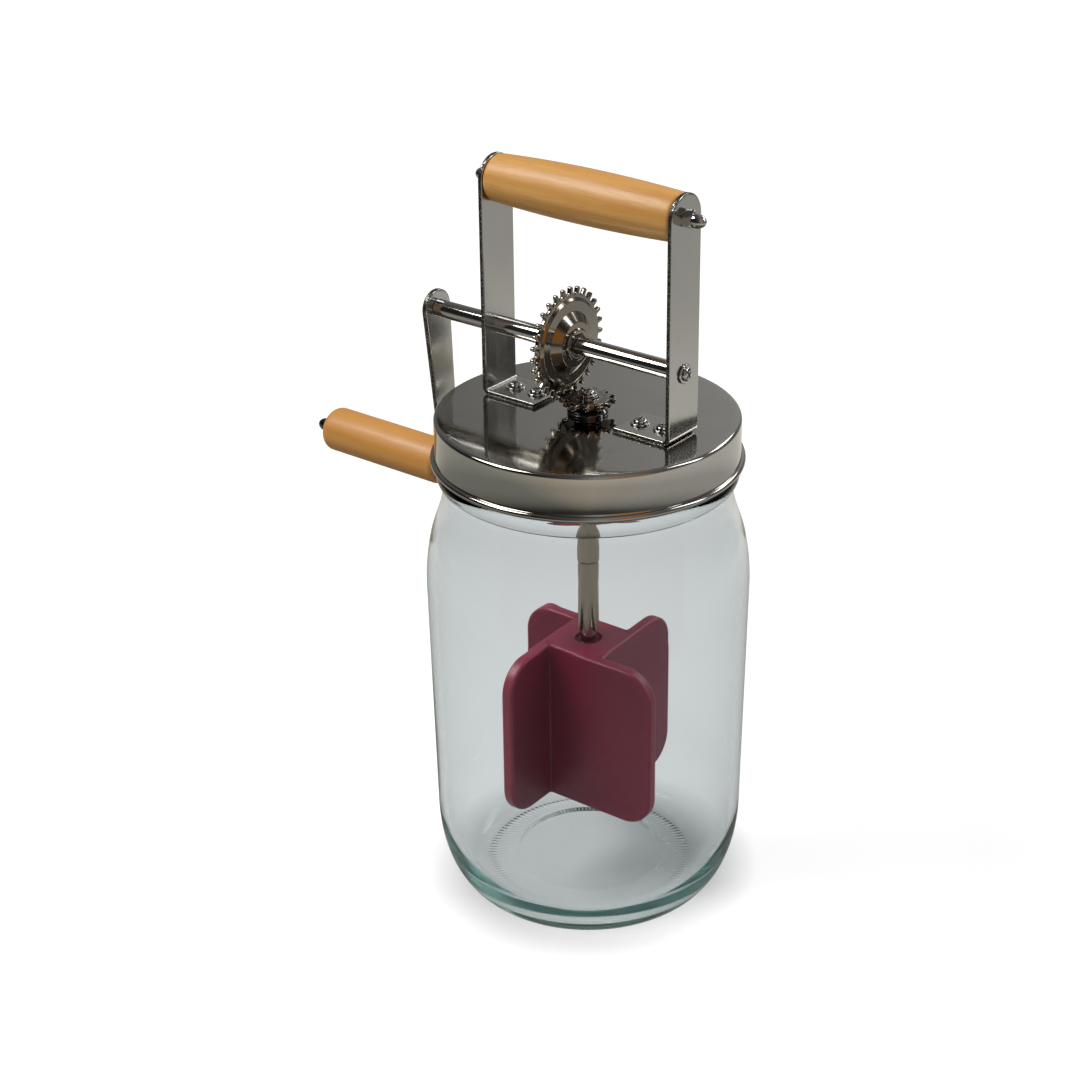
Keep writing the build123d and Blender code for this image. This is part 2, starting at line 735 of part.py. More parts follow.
with BuildPart() as pinion_screw:
    pinion_head = pinion_hub_top + washer_thickness
    with BuildSketch(Plane.XY.offset(pinion_head)):
        Circle(head_diameter / 2)
    extrude(amount=head_height)
    fillet(pinion_screw.edges().group_by(Axis.Z)[-1], head_rounding)
    with BuildSketch(Plane.XY.offset(pinion_head + head_height)):
        Rectangle(recess_length, recess_width)
        Rectangle(recess_width, recess_length)
    extrude(amount=-recess_depth, mode=Mode.SUBTRACT)
    with BuildSketch(Plane.XY.offset(pinion_head)):
        Circle(screw_diameter / 2)
    extrude(amount=-washer_thickness - end_screw_length + screw_clearance)
pinion_screw.part.label = "pinion_screw"
export_step(pinion_screw.part, "parts/pinion_screw.step")

with BuildPart() as spindle:
    with BuildSketch(Plane.XY.offset(spindle_bottom)):
        Circle(spindle_radius)
    extrude(amount=pinion_hub_top - spindle_bottom)
    with BuildSketch(Plane.XY.offset(pinion_hub_top)):
        Circle(screw_diameter / 2)
    extrude(amount=-end_screw_length, mode=Mode.SUBTRACT)
spindle.part.label = "spindle"
export_step(spindle.part, "parts/spindle.step")

# The ferrule's lower end is cut into pointed fingers.
with BuildPart() as drive_ferrule:
    with BuildSketch(Plane.XY.offset(ferrule_bottom)):
        Circle(ferrule_diameter / 2)
        Circle(spindle_radius, mode=Mode.SUBTRACT)
    extrude(amount=ferrule_top - ferrule_bottom)
    notch_half_width = (pi * ferrule_diameter / ferrule_fingers - finger_tip_width) / 2
    for finger in range(ferrule_fingers):
        facing = half_plane(finger_turn + finger * 360 / ferrule_fingers + 90)
        with BuildSketch(facing):
            with BuildLine():
                Polyline(
                    (-notch_half_width, ferrule_bottom),
                    (notch_half_width, ferrule_bottom),
                    (0, ferrule_bottom + finger_length),
                    close=True,
                )
            make_face()
        extrude(amount=ferrule_diameter, mode=Mode.SUBTRACT)
drive_ferrule.part.label = "drive_ferrule"
export_step(drive_ferrule.part, "parts/drive_ferrule.step")

# --- Paddle ---------------------------------------------------------------------------------------
# A square hub whose four faces each run on past one corner as a blade.
with BuildPart() as paddle:
    with BuildSketch(Plane.XY.offset(paddle_bottom)):
        Rectangle(hub_width, hub_width, rotation=paddle_turn)
    extrude(amount=paddle_height)
    for blade in range(4):
        turn = radians(paddle_turn + 90 * blade)
        along = Vector(cos(turn), sin(turn), 0)
        outward = Vector(sin(turn), -cos(turn), 0)
        blade_plane = Plane(origin=outward * hub_width / 2, x_dir=along, z_dir=outward)
        with BuildSketch(blade_plane) as blade_outline:
            with Locations((0, paddle_bottom)):
                Rectangle(hub_width / 2 + blade_reach, paddle_height, align=(Align.MIN, Align.MIN))
            outer_corners = blade_outline.vertices().group_by(Axis.X)[-1].sort_by(Axis.Y)
            fillet(outer_corners[-1], blade_top_rounding)
            outer_corners = blade_outline.vertices().sort_by_distance((hub_width + blade_reach, paddle_bottom))
            fillet(outer_corners[0], blade_bottom_rounding)
        extrude(amount=-blade_thickness)
    hub_corner = hypot(hub_width, hub_width) / 2
    longest_seam = blade_thickness + blade_edge_rounding
    blade_rims = paddle.edges().filter_by(
        lambda rim: hypot(rim.center().X, rim.center().Y) > hub_corner and rim.length > longest_seam
    )
    fillet(blade_rims, blade_edge_rounding)
    with BuildSketch(Plane.XY.offset(paddle_top)):
        Circle(socket_mouth_radius)
    extrude(amount=-socket_mouth_depth, mode=Mode.SUBTRACT)
    with BuildSketch(Plane.XY.offset(paddle_top)):
        Circle(spindle_radius)
    extrude(amount=-socket_depth, mode=Mode.SUBTRACT)
paddle.part.label = "paddle"
export_step(paddle.part, "parts/paddle.step")
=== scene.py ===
"""The looks of a hand-cranked mixer on a glass jar, built round its packed CAD model."""

import math

import bmesh
import bpy
import numpy as np
from bpy.props import FloatProperty, FloatVectorProperty, IntProperty, PointerProperty
from bpy.types import Operator, Panel, PropertyGroup
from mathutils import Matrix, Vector
from mathutils.geometry import delaunay_2d_cdt


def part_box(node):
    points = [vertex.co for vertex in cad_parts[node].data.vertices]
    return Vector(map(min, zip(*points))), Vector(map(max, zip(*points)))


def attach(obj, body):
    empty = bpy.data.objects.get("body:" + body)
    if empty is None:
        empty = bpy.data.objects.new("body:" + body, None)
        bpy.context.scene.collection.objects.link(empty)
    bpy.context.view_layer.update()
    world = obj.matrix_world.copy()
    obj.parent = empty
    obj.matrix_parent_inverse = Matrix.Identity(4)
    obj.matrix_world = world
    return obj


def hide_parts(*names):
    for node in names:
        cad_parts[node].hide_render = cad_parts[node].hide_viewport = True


bl_info = {
    "name": "Crank Mixer Jar",
    "version": (1, 0, 0),
    "blender": (4, 5, 0),
    "location": "View3D > Sidebar > Mixer",
    "description": "Builds the glass, plated steel, wood and silicone of a hand-cranked mixer jar",
    "category": "Mesh",
}

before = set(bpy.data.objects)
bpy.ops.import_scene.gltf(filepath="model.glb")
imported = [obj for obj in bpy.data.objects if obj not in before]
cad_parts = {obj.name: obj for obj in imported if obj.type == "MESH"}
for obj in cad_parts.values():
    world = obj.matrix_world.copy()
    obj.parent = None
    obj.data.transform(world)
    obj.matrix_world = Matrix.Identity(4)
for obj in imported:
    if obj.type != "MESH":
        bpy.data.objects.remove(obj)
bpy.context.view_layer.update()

MM = 0.001
QUARTER = math.pi / 2
FULL = 2 * math.pi
WELD = 1e-6                   # points nearer than this are one point
LUGS = 6                      # on the lid, and as many thread ridges on the glass
THREAD_LEAD = 10.0 * MM       # rise of the jar's thread in one full turn
SCREW_PITCH = 0.5 * MM
ROWS_PER_PITCH = 8
SHORT_SHANK = 9 * ROWS_PER_PITCH      # rows of the shank of a screw in the shaft's or the spindle's end
HOLE_PLAY = 0.15 * MM         # a washer's hole is wider than its screw by this, on each side
CAMERA_RIGHT = (0.802, 0.597, 0.0)    # the direction from the camera's left to its right


def low(node, axis):
    """A node's least coordinate along one axis."""
    return float(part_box(node)[0][axis])


def high(node, axis):
    """A node's greatest coordinate along one axis."""
    return float(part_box(node)[1][axis])


def middle(node, axis):
    """The mean of a node's least and greatest coordinates along one axis."""
    return (low(node, axis) + high(node, axis)) / 2


def radius(node):
    """Half a round node's width along Y."""
    return (high(node, 1) - low(node, 1)) / 2


LID_TOP = high("lid_shell", 2)
LID_UNDER = high("seal_ring", 2)
SHAFT_AXIS = middle("crank_shaft", 2)
HANDLE_AXIS = middle("handle_rod", 2)
PIN_SIDE, PIN_AXIS = middle("grip_pin", 1), middle("grip_pin", 2)


# --- Sizes and colours a user would change ------------------------------------------------------


def length(name, description, default):
    return FloatProperty(name=name, description=description, default=default, min=0.0, unit="LENGTH", precision=5)


def share(name, description, default):
    return FloatProperty(name=name, description=description, default=default, min=0.0, max=1.0, subtype="FACTOR")


def angle(name, description, degrees):
    return FloatProperty(name=name, description=description, default=math.radians(degrees), subtype="ANGLE")


def colour(name, description, default):
    return FloatVectorProperty(
        name=name, description=description, default=default, size=3, min=0.0, max=1.0, subtype="COLOR"
    )


class MixerJarSizes(PropertyGroup):
    """The glass jar."""

    wall: length("Wall", "Thickness of the jar's side", 3.0 * MM)
    floor: length("Floor", "Thickness of the jar's floor", 5.0 * MM)
    foot_radius: length("Foot radius", "Outer radius of the ring the jar stands on", 38.0 * MM)
    foot_width: length("Foot width", "Width of that ring", 5.0 * MM)
    push_up: length("Push-up", "Height of the hollow under the floor", 2.5 * MM)
    heel_height: length("Heel height", "Height at which the rounded heel ends", 30.0 * MM)
    heel_radius: length("Heel radius", "Radius of the jar above the heel", 52.4 * MM)
    bead_radius: length("Bead radius", "Radius of the bead under the lid", 49.8 * MM)
    neck_radius: length("Neck radius", "Radius between the shoulder and the bead", 47.5 * MM)
    finish_radius: length("Finish radius", "Radius of the glass inside the lid", 46.5 * MM)
    stipple: length("Stipple", "Height of the small bumps round the foot", 0.28 * MM)
    stipple_count: IntProperty(name="Stipple count", description="Bumps round the foot", default=128, min=12)
    columns: IntProperty(name="Columns", description="Mesh columns round the jar", default=512, min=64)


class MixerMetalSizes(PropertyGroup):
    """Lid, uprights, shaft and small fasteners."""

    lid_radius: length("Lid radius", "Outer radius of the lid's skirt", 50.0 * MM)
    sheet: length("Lid sheet", "Thickness of the lid's sheet", 0.7 * MM)
    lid_rounding: length("Lid rounding", "Radius of the lid's top edge", 1.3 * MM)
    curl: length("Curl", "Radius of the rolled edge", 1.1 * MM)
    strap: length("Strap", "Thickness of the uprights", 1.5 * MM)
    strap_bend: length("Strap bend", "Radius of the bend, at the strap's middle", 1.75 * MM)
    strap_edge: length("Strap edge", "Rounding of the strap's edges", 0.38 * MM)
    screw: length("Screw", "Diameter of the small screws", 3.0 * MM)
    head: length("Screw head", "Diameter of a screw's head", 4.5 * MM)
    head_height: length("Head height", "Height of a screw's head", 1.15 * MM)
    nut: length("Nut", "Width of a small nut across its flats", 5.5 * MM)


class MixerGearSizes(PropertyGroup):
    """The pressed gear and the pinion."""

    gear_teeth: IntProperty(name="Gear teeth", description="Finger teeth on the gear", default=29, min=8)
    pinion_teeth: IntProperty(name="Pinion teeth", description="Finger teeth on the pinion", default=13, min=6)
    gear_tooth: length("Gear tooth", "Height of a gear tooth", 2.4 * MM)
    gear_tooth_width: length("Gear tooth width", "Width of a gear tooth", 1.5 * MM)
    pinion_tooth: length("Pinion tooth", "Height of a pinion tooth", 2.2 * MM)
    pinion_tooth_width: length("Pinion tooth width", "Width of a pinion tooth", 1.4 * MM)
    edge: length("Tooth rounding", "Rounding of the teeth's edges", 0.34 * MM)


class MixerPaddleSizes(PropertyGroup):
    """The silicone paddle."""

    hub: length("Hub", "Width of the square hub", 23.8 * MM)
    reach: length("Reach", "Length of a blade past the hub", 21.0 * MM)
    blade: length("Blade", "Thickness of a blade", 4.2 * MM)
    top_round: length("Top rounding", "Radius of a blade's upper corner", 11.0 * MM)
    bottom_round: length("Bottom rounding", "Radius of a blade's lower corner", 10.5 * MM)
    rim: length("Rim", "Rounding of a blade's rim", 1.0 * MM)
    corner: length("Inner corner", "Radius where two faces of the paddle meet", 0.5 * MM)
    turn: angle("Turn", "The paddle's turn at rest", 1.5)


class MixerFinishes(PropertyGroup):
    """Colours and gloss."""

    glass: colour("Glass", "Tint of the glass", (0.895, 0.900, 0.908))
    glass_depth: colour("Glass depth", "Tint of the glass where it is thick", (0.42, 0.61, 0.59))
    lid: colour("Lid", "Nickel plate of the lid", (0.40, 0.385, 0.355))
    strap: colour("Strap", "Nickel plate of the uprights and arm", (0.44, 0.43, 0.40))
    bright: colour("Bright plate", "Polished shaft and fasteners", (0.46, 0.455, 0.44))
    gear: colour("Gear plate", "Plate of the gear and pinion", (0.235, 0.212, 0.178))
    tube: colour("Tube", "Dull plate of the sleeve and ferrule", (0.30, 0.265, 0.205))
    wood_light: colour("Light wood", "Earlywood under the varnish", (0.62, 0.325, 0.080))
    wood_dark: colour("Dark wood", "Latewood under the varnish", (0.47, 0.195, 0.026))
    silicone: colour("Silicone", "Dark red of the paddle", (0.108, 0.002, 0.016))
    # painted light: the paler red stands in for light showing through the thin rims
    silicone_rim_glow: colour("Silicone rims", "Paler red of the thin rims", (0.18, 0.012, 0.035))
    liner: colour("Liner", "The lid's sealing compound", (0.62, 0.60, 0.55))


class MixerStage(PropertyGroup):
    """Camera, floor and lamps."""

    azimuth: angle("Azimuth", "Turn of the view", 36.67)
    elevation: angle("Elevation", "Height of the view", 23.04)
    distance: length("Distance", "Camera to the lid", 687.4 * MM)
    lens: FloatProperty(name="Lens", description="Focal length in millimetres", default=70.64, min=1.0)
    floor: share("Floor", "Grey of the floor", 0.42)


# --- Surfaces worked out as arrays ------------------------------------------------------------------


def rounded(corners, steps=5, closed=False):
    """A profile of (a, b, radius) corners, where each corner becomes an arc that touches both its sides:
    the arc's centre lies radius / sin(half the corner) along the corner's bisector, and its ends radius /
    tan(half) away."""
    corners = np.array(corners, float)
    point, bend = corners[:, :2], corners[:, 2:]
    to_last, to_next = np.roll(point, 1, axis=0) - point, np.roll(point, -1, axis=0) - point
    if not closed:
        to_last[0], to_next[-1] = -to_next[0], -to_last[-1]
        bend = bend * np.concatenate([[0], np.ones(len(bend) - 2), [0]])[:, None]
    to_last /= np.linalg.norm(to_last, axis=1, keepdims=True)
    to_next /= np.linalg.norm(to_next, axis=1, keepdims=True)
    half = np.arccos(np.clip((to_last * to_next).sum(1, keepdims=True), -1, 1)) / 2
    half = np.clip(half, 1e-4, QUARTER - 1e-4)
    bisector = to_last + to_next
    bisector /= np.maximum(np.linalg.norm(bisector, axis=1, keepdims=True), 1e-9)
    centre = point + bisector * bend / np.sin(half)
    start = point + to_last * bend / np.tan(half) - centre
    end = point + to_next * bend / np.tan(half) - centre
    turn = (math.pi - 2 * half)[:, None, :]
    t = np.linspace(0, 1, steps)[None, :, None]
    arc = (np.sin((1 - t) * turn) * start[:, None] + np.sin(t * turn) * end[:, None]) / np.sin(turn)
    return (centre[:, None] + arc).reshape(-1, 2)


def turns(count):
    """Even angles round a full turn, the first at zero."""
    return np.arange(count) / count * FULL


def around(angle):
    """The point (cos a, sin a) for each angle."""
    return np.stack([np.cos(angle), np.sin(angle)], -1)


def spun(points, angle):
    """Points turned about local Z: (x cos a - y sin a, x sin a + y cos a), and z as it was."""
    c, s = math.cos(angle), math.sin(angle)
    turning = np.eye(points.shape[-1])
    turning[:2, :2] = [[c, s], [-s, c]]
    return points @ turning


def stand(points, axis="Z", centre=(0, 0, 0)):
    """Points drawn about local Z, put about the row's X or Z axis through centre."""
    if axis == "X":
        points = points[..., [2, 0, 1]]
    return points + np.array(centre, float)


def turned(profile, count=96, axis="Z", centre=(0, 0, 0)):
    """A (radius, along) profile spun about an axis: x = radius cos a, y = radius sin a."""
    flat = profile[:, None, :1] * around(turns(count))[None]
    along = np.broadcast_to(profile[:, None, 1:], flat.shape[:2] + (1,))
    return stand(np.concatenate([flat, along], -1), axis, centre)


def circle(size, count):
    """A circle's points, at size times (cos a, sin a) for even angles."""
    return size * around(turns(count))


def hexagon(flats, count):
    """A hexagon as the distance flats / 2 / cos(angle from the nearest flat's middle), at even angles."""
    angle = turns(count)
    off = (angle + math.pi / 6) % (math.pi / 3) - math.pi / 6
    return around(angle) * (flats / 2 / np.cos(off))[:, None]


def chamfered_hex(flats, steps, count):
    """Rows of (outline, height) of a hexagon with turned corners. For each (allowance, height) the outline
    is the smaller of the hexagon and a circle of radius 1.02 flats / 2 + allowance."""
    flat = hexagon(flats, count)
    size = np.linalg.norm(flat, axis=1)
    way = flat / size[:, None]
    return [(way * np.minimum(size, flats / 2 * 1.02 + more)[:, None], height) for more, height in steps]


def toothed(root, tip, width, teeth, first):
    """Finger teeth round a circle. One tooth is drawn flat with a round tip and rounded roots, its radial
    coordinate is shortened to sqrt(radius^2 - sideways^2) so that the roots follow the circle, and it is
    turned once per tooth."""
    half, gap = width / 2, root * math.sin(math.pi / teeth)
    fillet = min(0.8 * (gap - half), 0.45 * MM)
    one = rounded(
        [(-gap, root, 0), (-half, root, fillet), (-half, tip, 0.98 * half), (half, tip, 0.98 * half),
         (half, root, fillet), (gap, root, 0)], steps=6,
    )[1:-6]
    side, out = one[:, 0], np.sqrt(one[:, 1] ** 2 - one[:, 0] ** 2)
    angle = (first + np.arange(teeth) * FULL / teeth)[:, None]
    x = out * np.cos(angle) - side * np.sin(angle)
    y = out * np.sin(angle) + side * np.cos(angle)
    return np.stack([x, y], -1).reshape(-1, 2)


def shifted(outline, amount):
    """A closed outline moved inwards by an amount, along the normal of each point's two neighbours."""
    along = np.roll(outline, -1, axis=0) - np.roll(outline, 1, axis=0)
    normal = np.stack([-along[:, 1], along[:, 0]], -1)
    return outline + amount * normal / np.maximum(np.linalg.norm(normal, axis=1, keepdims=True), 1e-12)


def stack(rows):
    """Rows of (closed outline, height) as one grid of points about local Z."""
    return np.stack([np.column_stack([line, np.full(len(line), height)]) for line, height in rows])


def side_rows(outline, top, bottom, edge, inwards=1):
    """Rows down the side of a plate. Each edge is a quarter round: the outline moved inwards by edge (1 -
    sin a), at a height edge (1 - cos a) from the face. For a hole, inwards is -1."""
    turn = np.linspace(0, QUARTER, 4)
    inset, rise = inwards * edge * (1 - np.sin(turn)), edge * (1 - np.cos(turn))
    rows = [(shifted(outline, i), top - r) for i, r in zip(inset, rise)]
    return rows + [(shifted(outline, i), bottom + r) for i, r in zip(inset[::-1], rise[::-1])]


def washer(node, hole, axis=2):
    """A flat washer drawn about local Z, as wide and thick as the node, down its side and back up its
    hole."""
    sides = low(node, axis), high(node, axis)
    rows = side_rows(circle(radius(node), 64), sides[1], sides[0], 0.22 * MM)
    return stack(rows + side_rows(circle(hole, 64), sides[1], sides[0], 0.22 * MM, -1)[::-1])


def quads(points, wrap_rows=False):
    """Points of a grid that is closed along its rows, and the four-sided faces between them."""
    rows, columns = points.shape[:2]
    i = np.arange(rows if wrap_rows else rows - 1)[:, None]
    j = np.arange(columns)[None]
    down, right = (i + 1) % rows, (j + 1) % columns
    faces = np.stack([i * columns + j, down * columns + j, down * columns + right, i * columns + right], -1)
    return points.reshape(-1, 3), faces.reshape(-1, 4)


def filled(points, outlines):
    """Triangles that fill flat outlines, the first the outer one and the others holes, by Delaunay's
    rule."""
    starts = np.cumsum([0] + [len(line) for line in outlines])
    edges = [(a + i, a + (i + 1) % (b - a)) for a, b in zip(starts[:-1], starts[1:]) for i in range(b - a)]
    found = delaunay_2d_cdt([Vector(p) for p in np.concatenate(outlines)], edges, [], 0, 1e-9)
    faces, source = np.array(found[2]), np.array([ids[0] for ids in found[3]])
    centres = np.array(found[0])[faces].mean(1)
    return points, source[faces[inside(centres, outlines)]]


def inside(points, outlines):
    """Even-odd test: a ray towards +X from each point crosses the outlines an odd number of times."""
    a = np.concatenate(outlines)
    b = np.concatenate([np.roll(line, -1, axis=0) for line in outlines])
    x, y = points[:, :1], points[:, 1:]
    spans = (a[:, 1] > y) != (b[:, 1] > y)
    rise = np.where(a[:, 1] == b[:, 1], 1.0, b[:, 1] - a[:, 1])
    return ((a[:, 0] + (y - a[:, 1]) / rise * (b[:, 0] - a[:, 0]) > x) & spans).sum(1) % 2 == 1


def piece(name, surfaces, material, body, replaced=(), sharp=38.0, mark=None):
    """Makes one object of one or more surfaces, welds its seams and poles, turns its faces outwards and
    shades it smooth except at edges sharper than the given angle. A mark is an attribute's name and its
    value at each point."""
    vertices, faces, start = [], [], 0
    for points, these in surfaces:
        vertices.append(points)
        faces += (these + start).tolist()
        start += len(points)
    mesh = bpy.data.meshes.new(name)
    mesh.from_pydata(np.concatenate(vertices), [], faces)
    if mark:
        values = mesh.attributes.new(mark[0], "FLOAT", "POINT").data
        values.foreach_set("value", mark[1].astype(np.float32).reshape(-1))
    work = bmesh.new()
    work.from_mesh(mesh)
    bmesh.ops.remove_doubles(work, verts=work.verts, dist=WELD)
    bmesh.ops.dissolve_degenerate(work, edges=work.edges, dist=WELD / 10)
    bmesh.ops.recalc_face_normals(work, faces=work.faces)
    work.to_mesh(mesh)
    work.free()
    mesh.polygons.foreach_set("use_smooth", np.ones(len(mesh.polygons), bool))
    mesh.set_sharp_from_angle(angle=math.radians(sharp))
    mesh.materials.append(material)
    made = bpy.data.objects.new(name, mesh)
    bpy.context.scene.collection.objects.link(made)
    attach(made, body)
    if replaced:
        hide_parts(*replaced)
    return made


def weighted(made):
    """Lets large faces keep their own normal, so that only the rounded edges shade."""
    modifier = made.modifiers.new("Face normals", "WEIGHTED_NORMAL")
    modifier.keep_sharp = True
    modifier.weight = 80


def bent_plate(stations, half_width, distance, middle_line, thickness, edge):
    """A flat strip with rounded rims, laid along a line. At each station along it the columns run across
    one face and back over the other. A point's half thickness is (t/2 - e) + sqrt(e^2 - (e - d)^2), where d
    is its distance to the strip's outline and e the rim's rounding, and the line's own normal says which
    way the thickness goes. Also gives 1 - d/e, which marks the strip's cut edge."""
    ratio = 1 - np.cos(np.linspace(0, QUARTER, 6))
    inset = np.concatenate([edge * ratio, [2 * edge, 6 * edge, 12 * edge]])
    half = half_width(stations)[:, None]
    left = -np.maximum(half - inset[None], 0)
    across = np.concatenate([left, np.zeros((len(stations), 1)), -left[:, ::-1]], 1)
    near = np.clip(distance(stations[:, None], across), 0, edge)
    thick = thickness / 2 - edge + np.sqrt(np.maximum(edge**2 - (edge - near) ** 2, 0))
    along = np.broadcast_to(stations[:, None], across.shape)
    upper, lower = np.stack([along, across, thick], -1), np.stack([along, across, -thick], -1)
    loop = np.concatenate([upper, lower[:, ::-1]], 1)
    cut = 1 - np.concatenate([near, near[:, ::-1]], 1) / edge
    flat_ends = loop[[0, -1]] * [1, 1, 0]
    loop = np.concatenate([flat_ends[:1], loop, flat_ends[1:]])
    return middle_line(loop), np.concatenate([cut[:1], cut, cut[-1:]])


# --- Materials ----------------------------------------------------------------------------------------


class Wiring:
    """The node tree of a material or world, with short ways to add and join nodes."""

    def __init__(self, owner, shader="Principled BSDF", output="Material Output"):
        owner.use_nodes = True
        self.owner, self.tree = owner, owner.node_tree
        self.shader, self.output = self.tree.nodes[shader], self.tree.nodes[output]

    def add(self, kind, settings=None, **sockets):
        """A node whose sockets, named with _ for a space, are set to a value or joined to another
        socket."""
        node = self.tree.nodes.new("ShaderNode" + kind)
        for key, value in (settings or {}).items():
            setattr(node, key, value)
        for key, value in sockets.items():
            self.put(node, key.replace("_", " "), value)
        return node

    def feed(self, kind, *values, **settings):
        """A node whose first sockets are set or joined by their place, for kinds whose sockets share a
        name."""
        node = self.add(kind, settings)
        for place, value in enumerate(values):
            self.put(node, place, value)
        return node

    def put(self, node, socket, value):
        """Sets a socket, by name or place, to a value, or joins it to another socket."""
        if isinstance(value, bpy.types.NodeSocket):
            self.tree.links.new(value, node.inputs[socket])
        else:
            node.inputs[socket].default_value = value

    def set(self, **sockets):
        """Values or links for the material's own shader."""
        for key, value in sockets.items():
            self.put(self.shader, key.replace("_", " "), value)

    def coordinates(self, scale=(1, 1, 1), move=(0, 0, 0)):
        """Object coordinates, scaled and moved. Pieces stand at the origin, so these are the row's own
        metres."""
        here = self.add("TexCoord").outputs["Object"]
        return self.add("Mapping", None, Vector=here, Scale=scale, Location=move).outputs["Vector"]

    def noise(self, vector, scale, detail, roughness):
        """Fractal noise of 0 to 1, with scale waves to the unit of the vector."""
        node = self.add("TexNoise", None, Vector=vector, Scale=scale, Detail=detail, Roughness=roughness)
        return node.outputs["Fac"]

    def ramp(self, value, stops):
        """A colour or grey for each value, from (place, colour) stops."""
        node = self.add("ValToRGB", None, Fac=value)
        elements = node.color_ramp.elements
        while len(elements) < len(stops):
            elements.new(0.5)
        for element, (place, shade) in zip(elements, stops):
            element.position = place
            element.color = (*shade, 1) if hasattr(shade, "__len__") else (shade, shade, shade, 1)
        return node.outputs["Color"]

    def range(self, value, low_in, high_in, low_out, high_out, kind="LINEAR"):
        """A straight or smooth ramp from low_out at low_in to high_out at high_in, and level beyond."""
        return self.add(
            "MapRange", {"interpolation_type": kind}, Value=value, From_Min=low_in, From_Max=high_in,
            To_Min=low_out, To_Max=high_out,
        ).outputs["Result"]

    def mix(self, factor, first, second):
        """first * (1 - factor) + second * factor, for colours."""
        node = self.add("Mix", {"data_type": "RGBA"})
        for place, value in ((0, factor), (6, first), (7, second)):
            if place and not isinstance(value, bpy.types.NodeSocket):
                value = (*value, 1)
            self.put(node, place, value)
        return node.outputs[2]

    def maths(self, operation, first, second=0.0):
        """One sum on two numbers; a root only takes the first."""
        return self.feed("Math", first, second, operation=operation).outputs[0]

    def product(self, first, *others):
        """All the given numbers multiplied."""
        for other in others:
            first = self.maths("MULTIPLY", first, other)
        return first

    def length(self, a, b):
        """The square root of a^2 + b^2."""
        return self.maths("SQRT", self.maths("ADD", self.product(a, a), self.product(b, b)))

    def shaders(self, factor, first, second):
        """The first shader where the factor is 0 and the second where it is 1."""
        return self.feed("MixShader", factor, first, second).outputs[0]

    def bump(self, height, strength, depth, normal=None):
        """A normal bent by a height that is depth metres from 0 to 1, on top of another bent normal."""
        node = self.add("Bump", None, Height=height, Strength=strength, Distance=depth)
        if normal is not None:
            self.tree.links.new(normal, node.inputs["Normal"])
        return node.outputs["Normal"]


def plated(name, tint, gloss, haze, grain=None, ripple=0.0, spots=0.0, cut_edge=False):
    """Plated steel: soft smudges in its gloss, an optional drawn grain along one axis, a slow ripple in the
    sheet that bends its reflections, and on sheared edges a dark, torn strip."""
    w = Wiring(bpy.data.materials.new(name))
    here = w.coordinates()
    smudge = w.noise(here, 38.0, 3.0, 0.6)
    fine = w.noise(here, 620.0, 2.0, 0.5)
    rough = w.range(smudge, 0.35, 0.75, gloss, gloss + haze)
    rough = w.maths("ADD", rough, w.range(fine, 0.3, 0.7, 0.0, 0.25 * haze))
    shade = w.ramp(smudge, [(0.3, [c * 0.93 for c in tint]), (0.7, tint)])
    if spots:
        worn = w.noise(w.coordinates(move=(0.3, 0.1, 0.2)), 95.0, 4.0, 0.65)
        mark = w.range(worn, 0.60, 0.78, 0.0, spots)
        shade = w.mix(mark, shade, [c * 0.62 for c in tint])
        rough = w.maths("ADD", rough, w.product(mark, 0.25))
    normal = None
    if ripple:
        normal = w.bump(w.noise(here, 24.0, 1.0, 0.4), 1.0, ripple)
    if grain:
        drawn = w.noise(w.coordinates(scale=grain), 1.0, 2.0, 0.6)
        normal = w.bump(drawn, 0.10, 0.02 * MM, normal)
        rough = w.maths("ADD", rough, w.range(drawn, 0.3, 0.7, -0.02, 0.05))
    if cut_edge:
        torn = w.noise(here, 1900.0, 3.0, 0.7)
        edge = w.range(w.add("Attribute", {"attribute_name": "cut"}).outputs["Fac"], 0.55, 0.9, 0.0, 1.0)
        edge = w.product(edge, w.range(torn, 0.50, 0.62, 1.0, 0.2))
        shade = w.mix(edge, shade, [c * 0.06 for c in tint])
        rough = w.maths("ADD", rough, w.product(edge, 0.35))
    w.set(Base_Color=shade, Metallic=1.0, Roughness=rough)
    if normal is not None:
        w.set(Normal=normal)
    return w.owner


def clear_glass(name, tint, depth):
    """Clear glass: a smooth skin with a faint waviness, and a green depth from what its volume takes
    out."""
    w = Wiring(bpy.data.materials.new(name))
    wave = w.bump(w.noise(w.coordinates(scale=(1, 1, 0.35)), 30.0, 1.0, 0.3), 1.0, 0.10 * MM)
    w.set(Base_Color=(*tint, 1), Roughness=0.0, IOR=1.46, Transmission_Weight=1.0, Normal=wave,
          Specular_Tint=(0.15, 0.15, 0.15, 1))
    volume = w.add("VolumeAbsorption", None, Color=(*depth, 1), Density=34.0)
    w.tree.links.new(volume.outputs["Volume"], w.output.inputs["Volume"])
    return w.owner


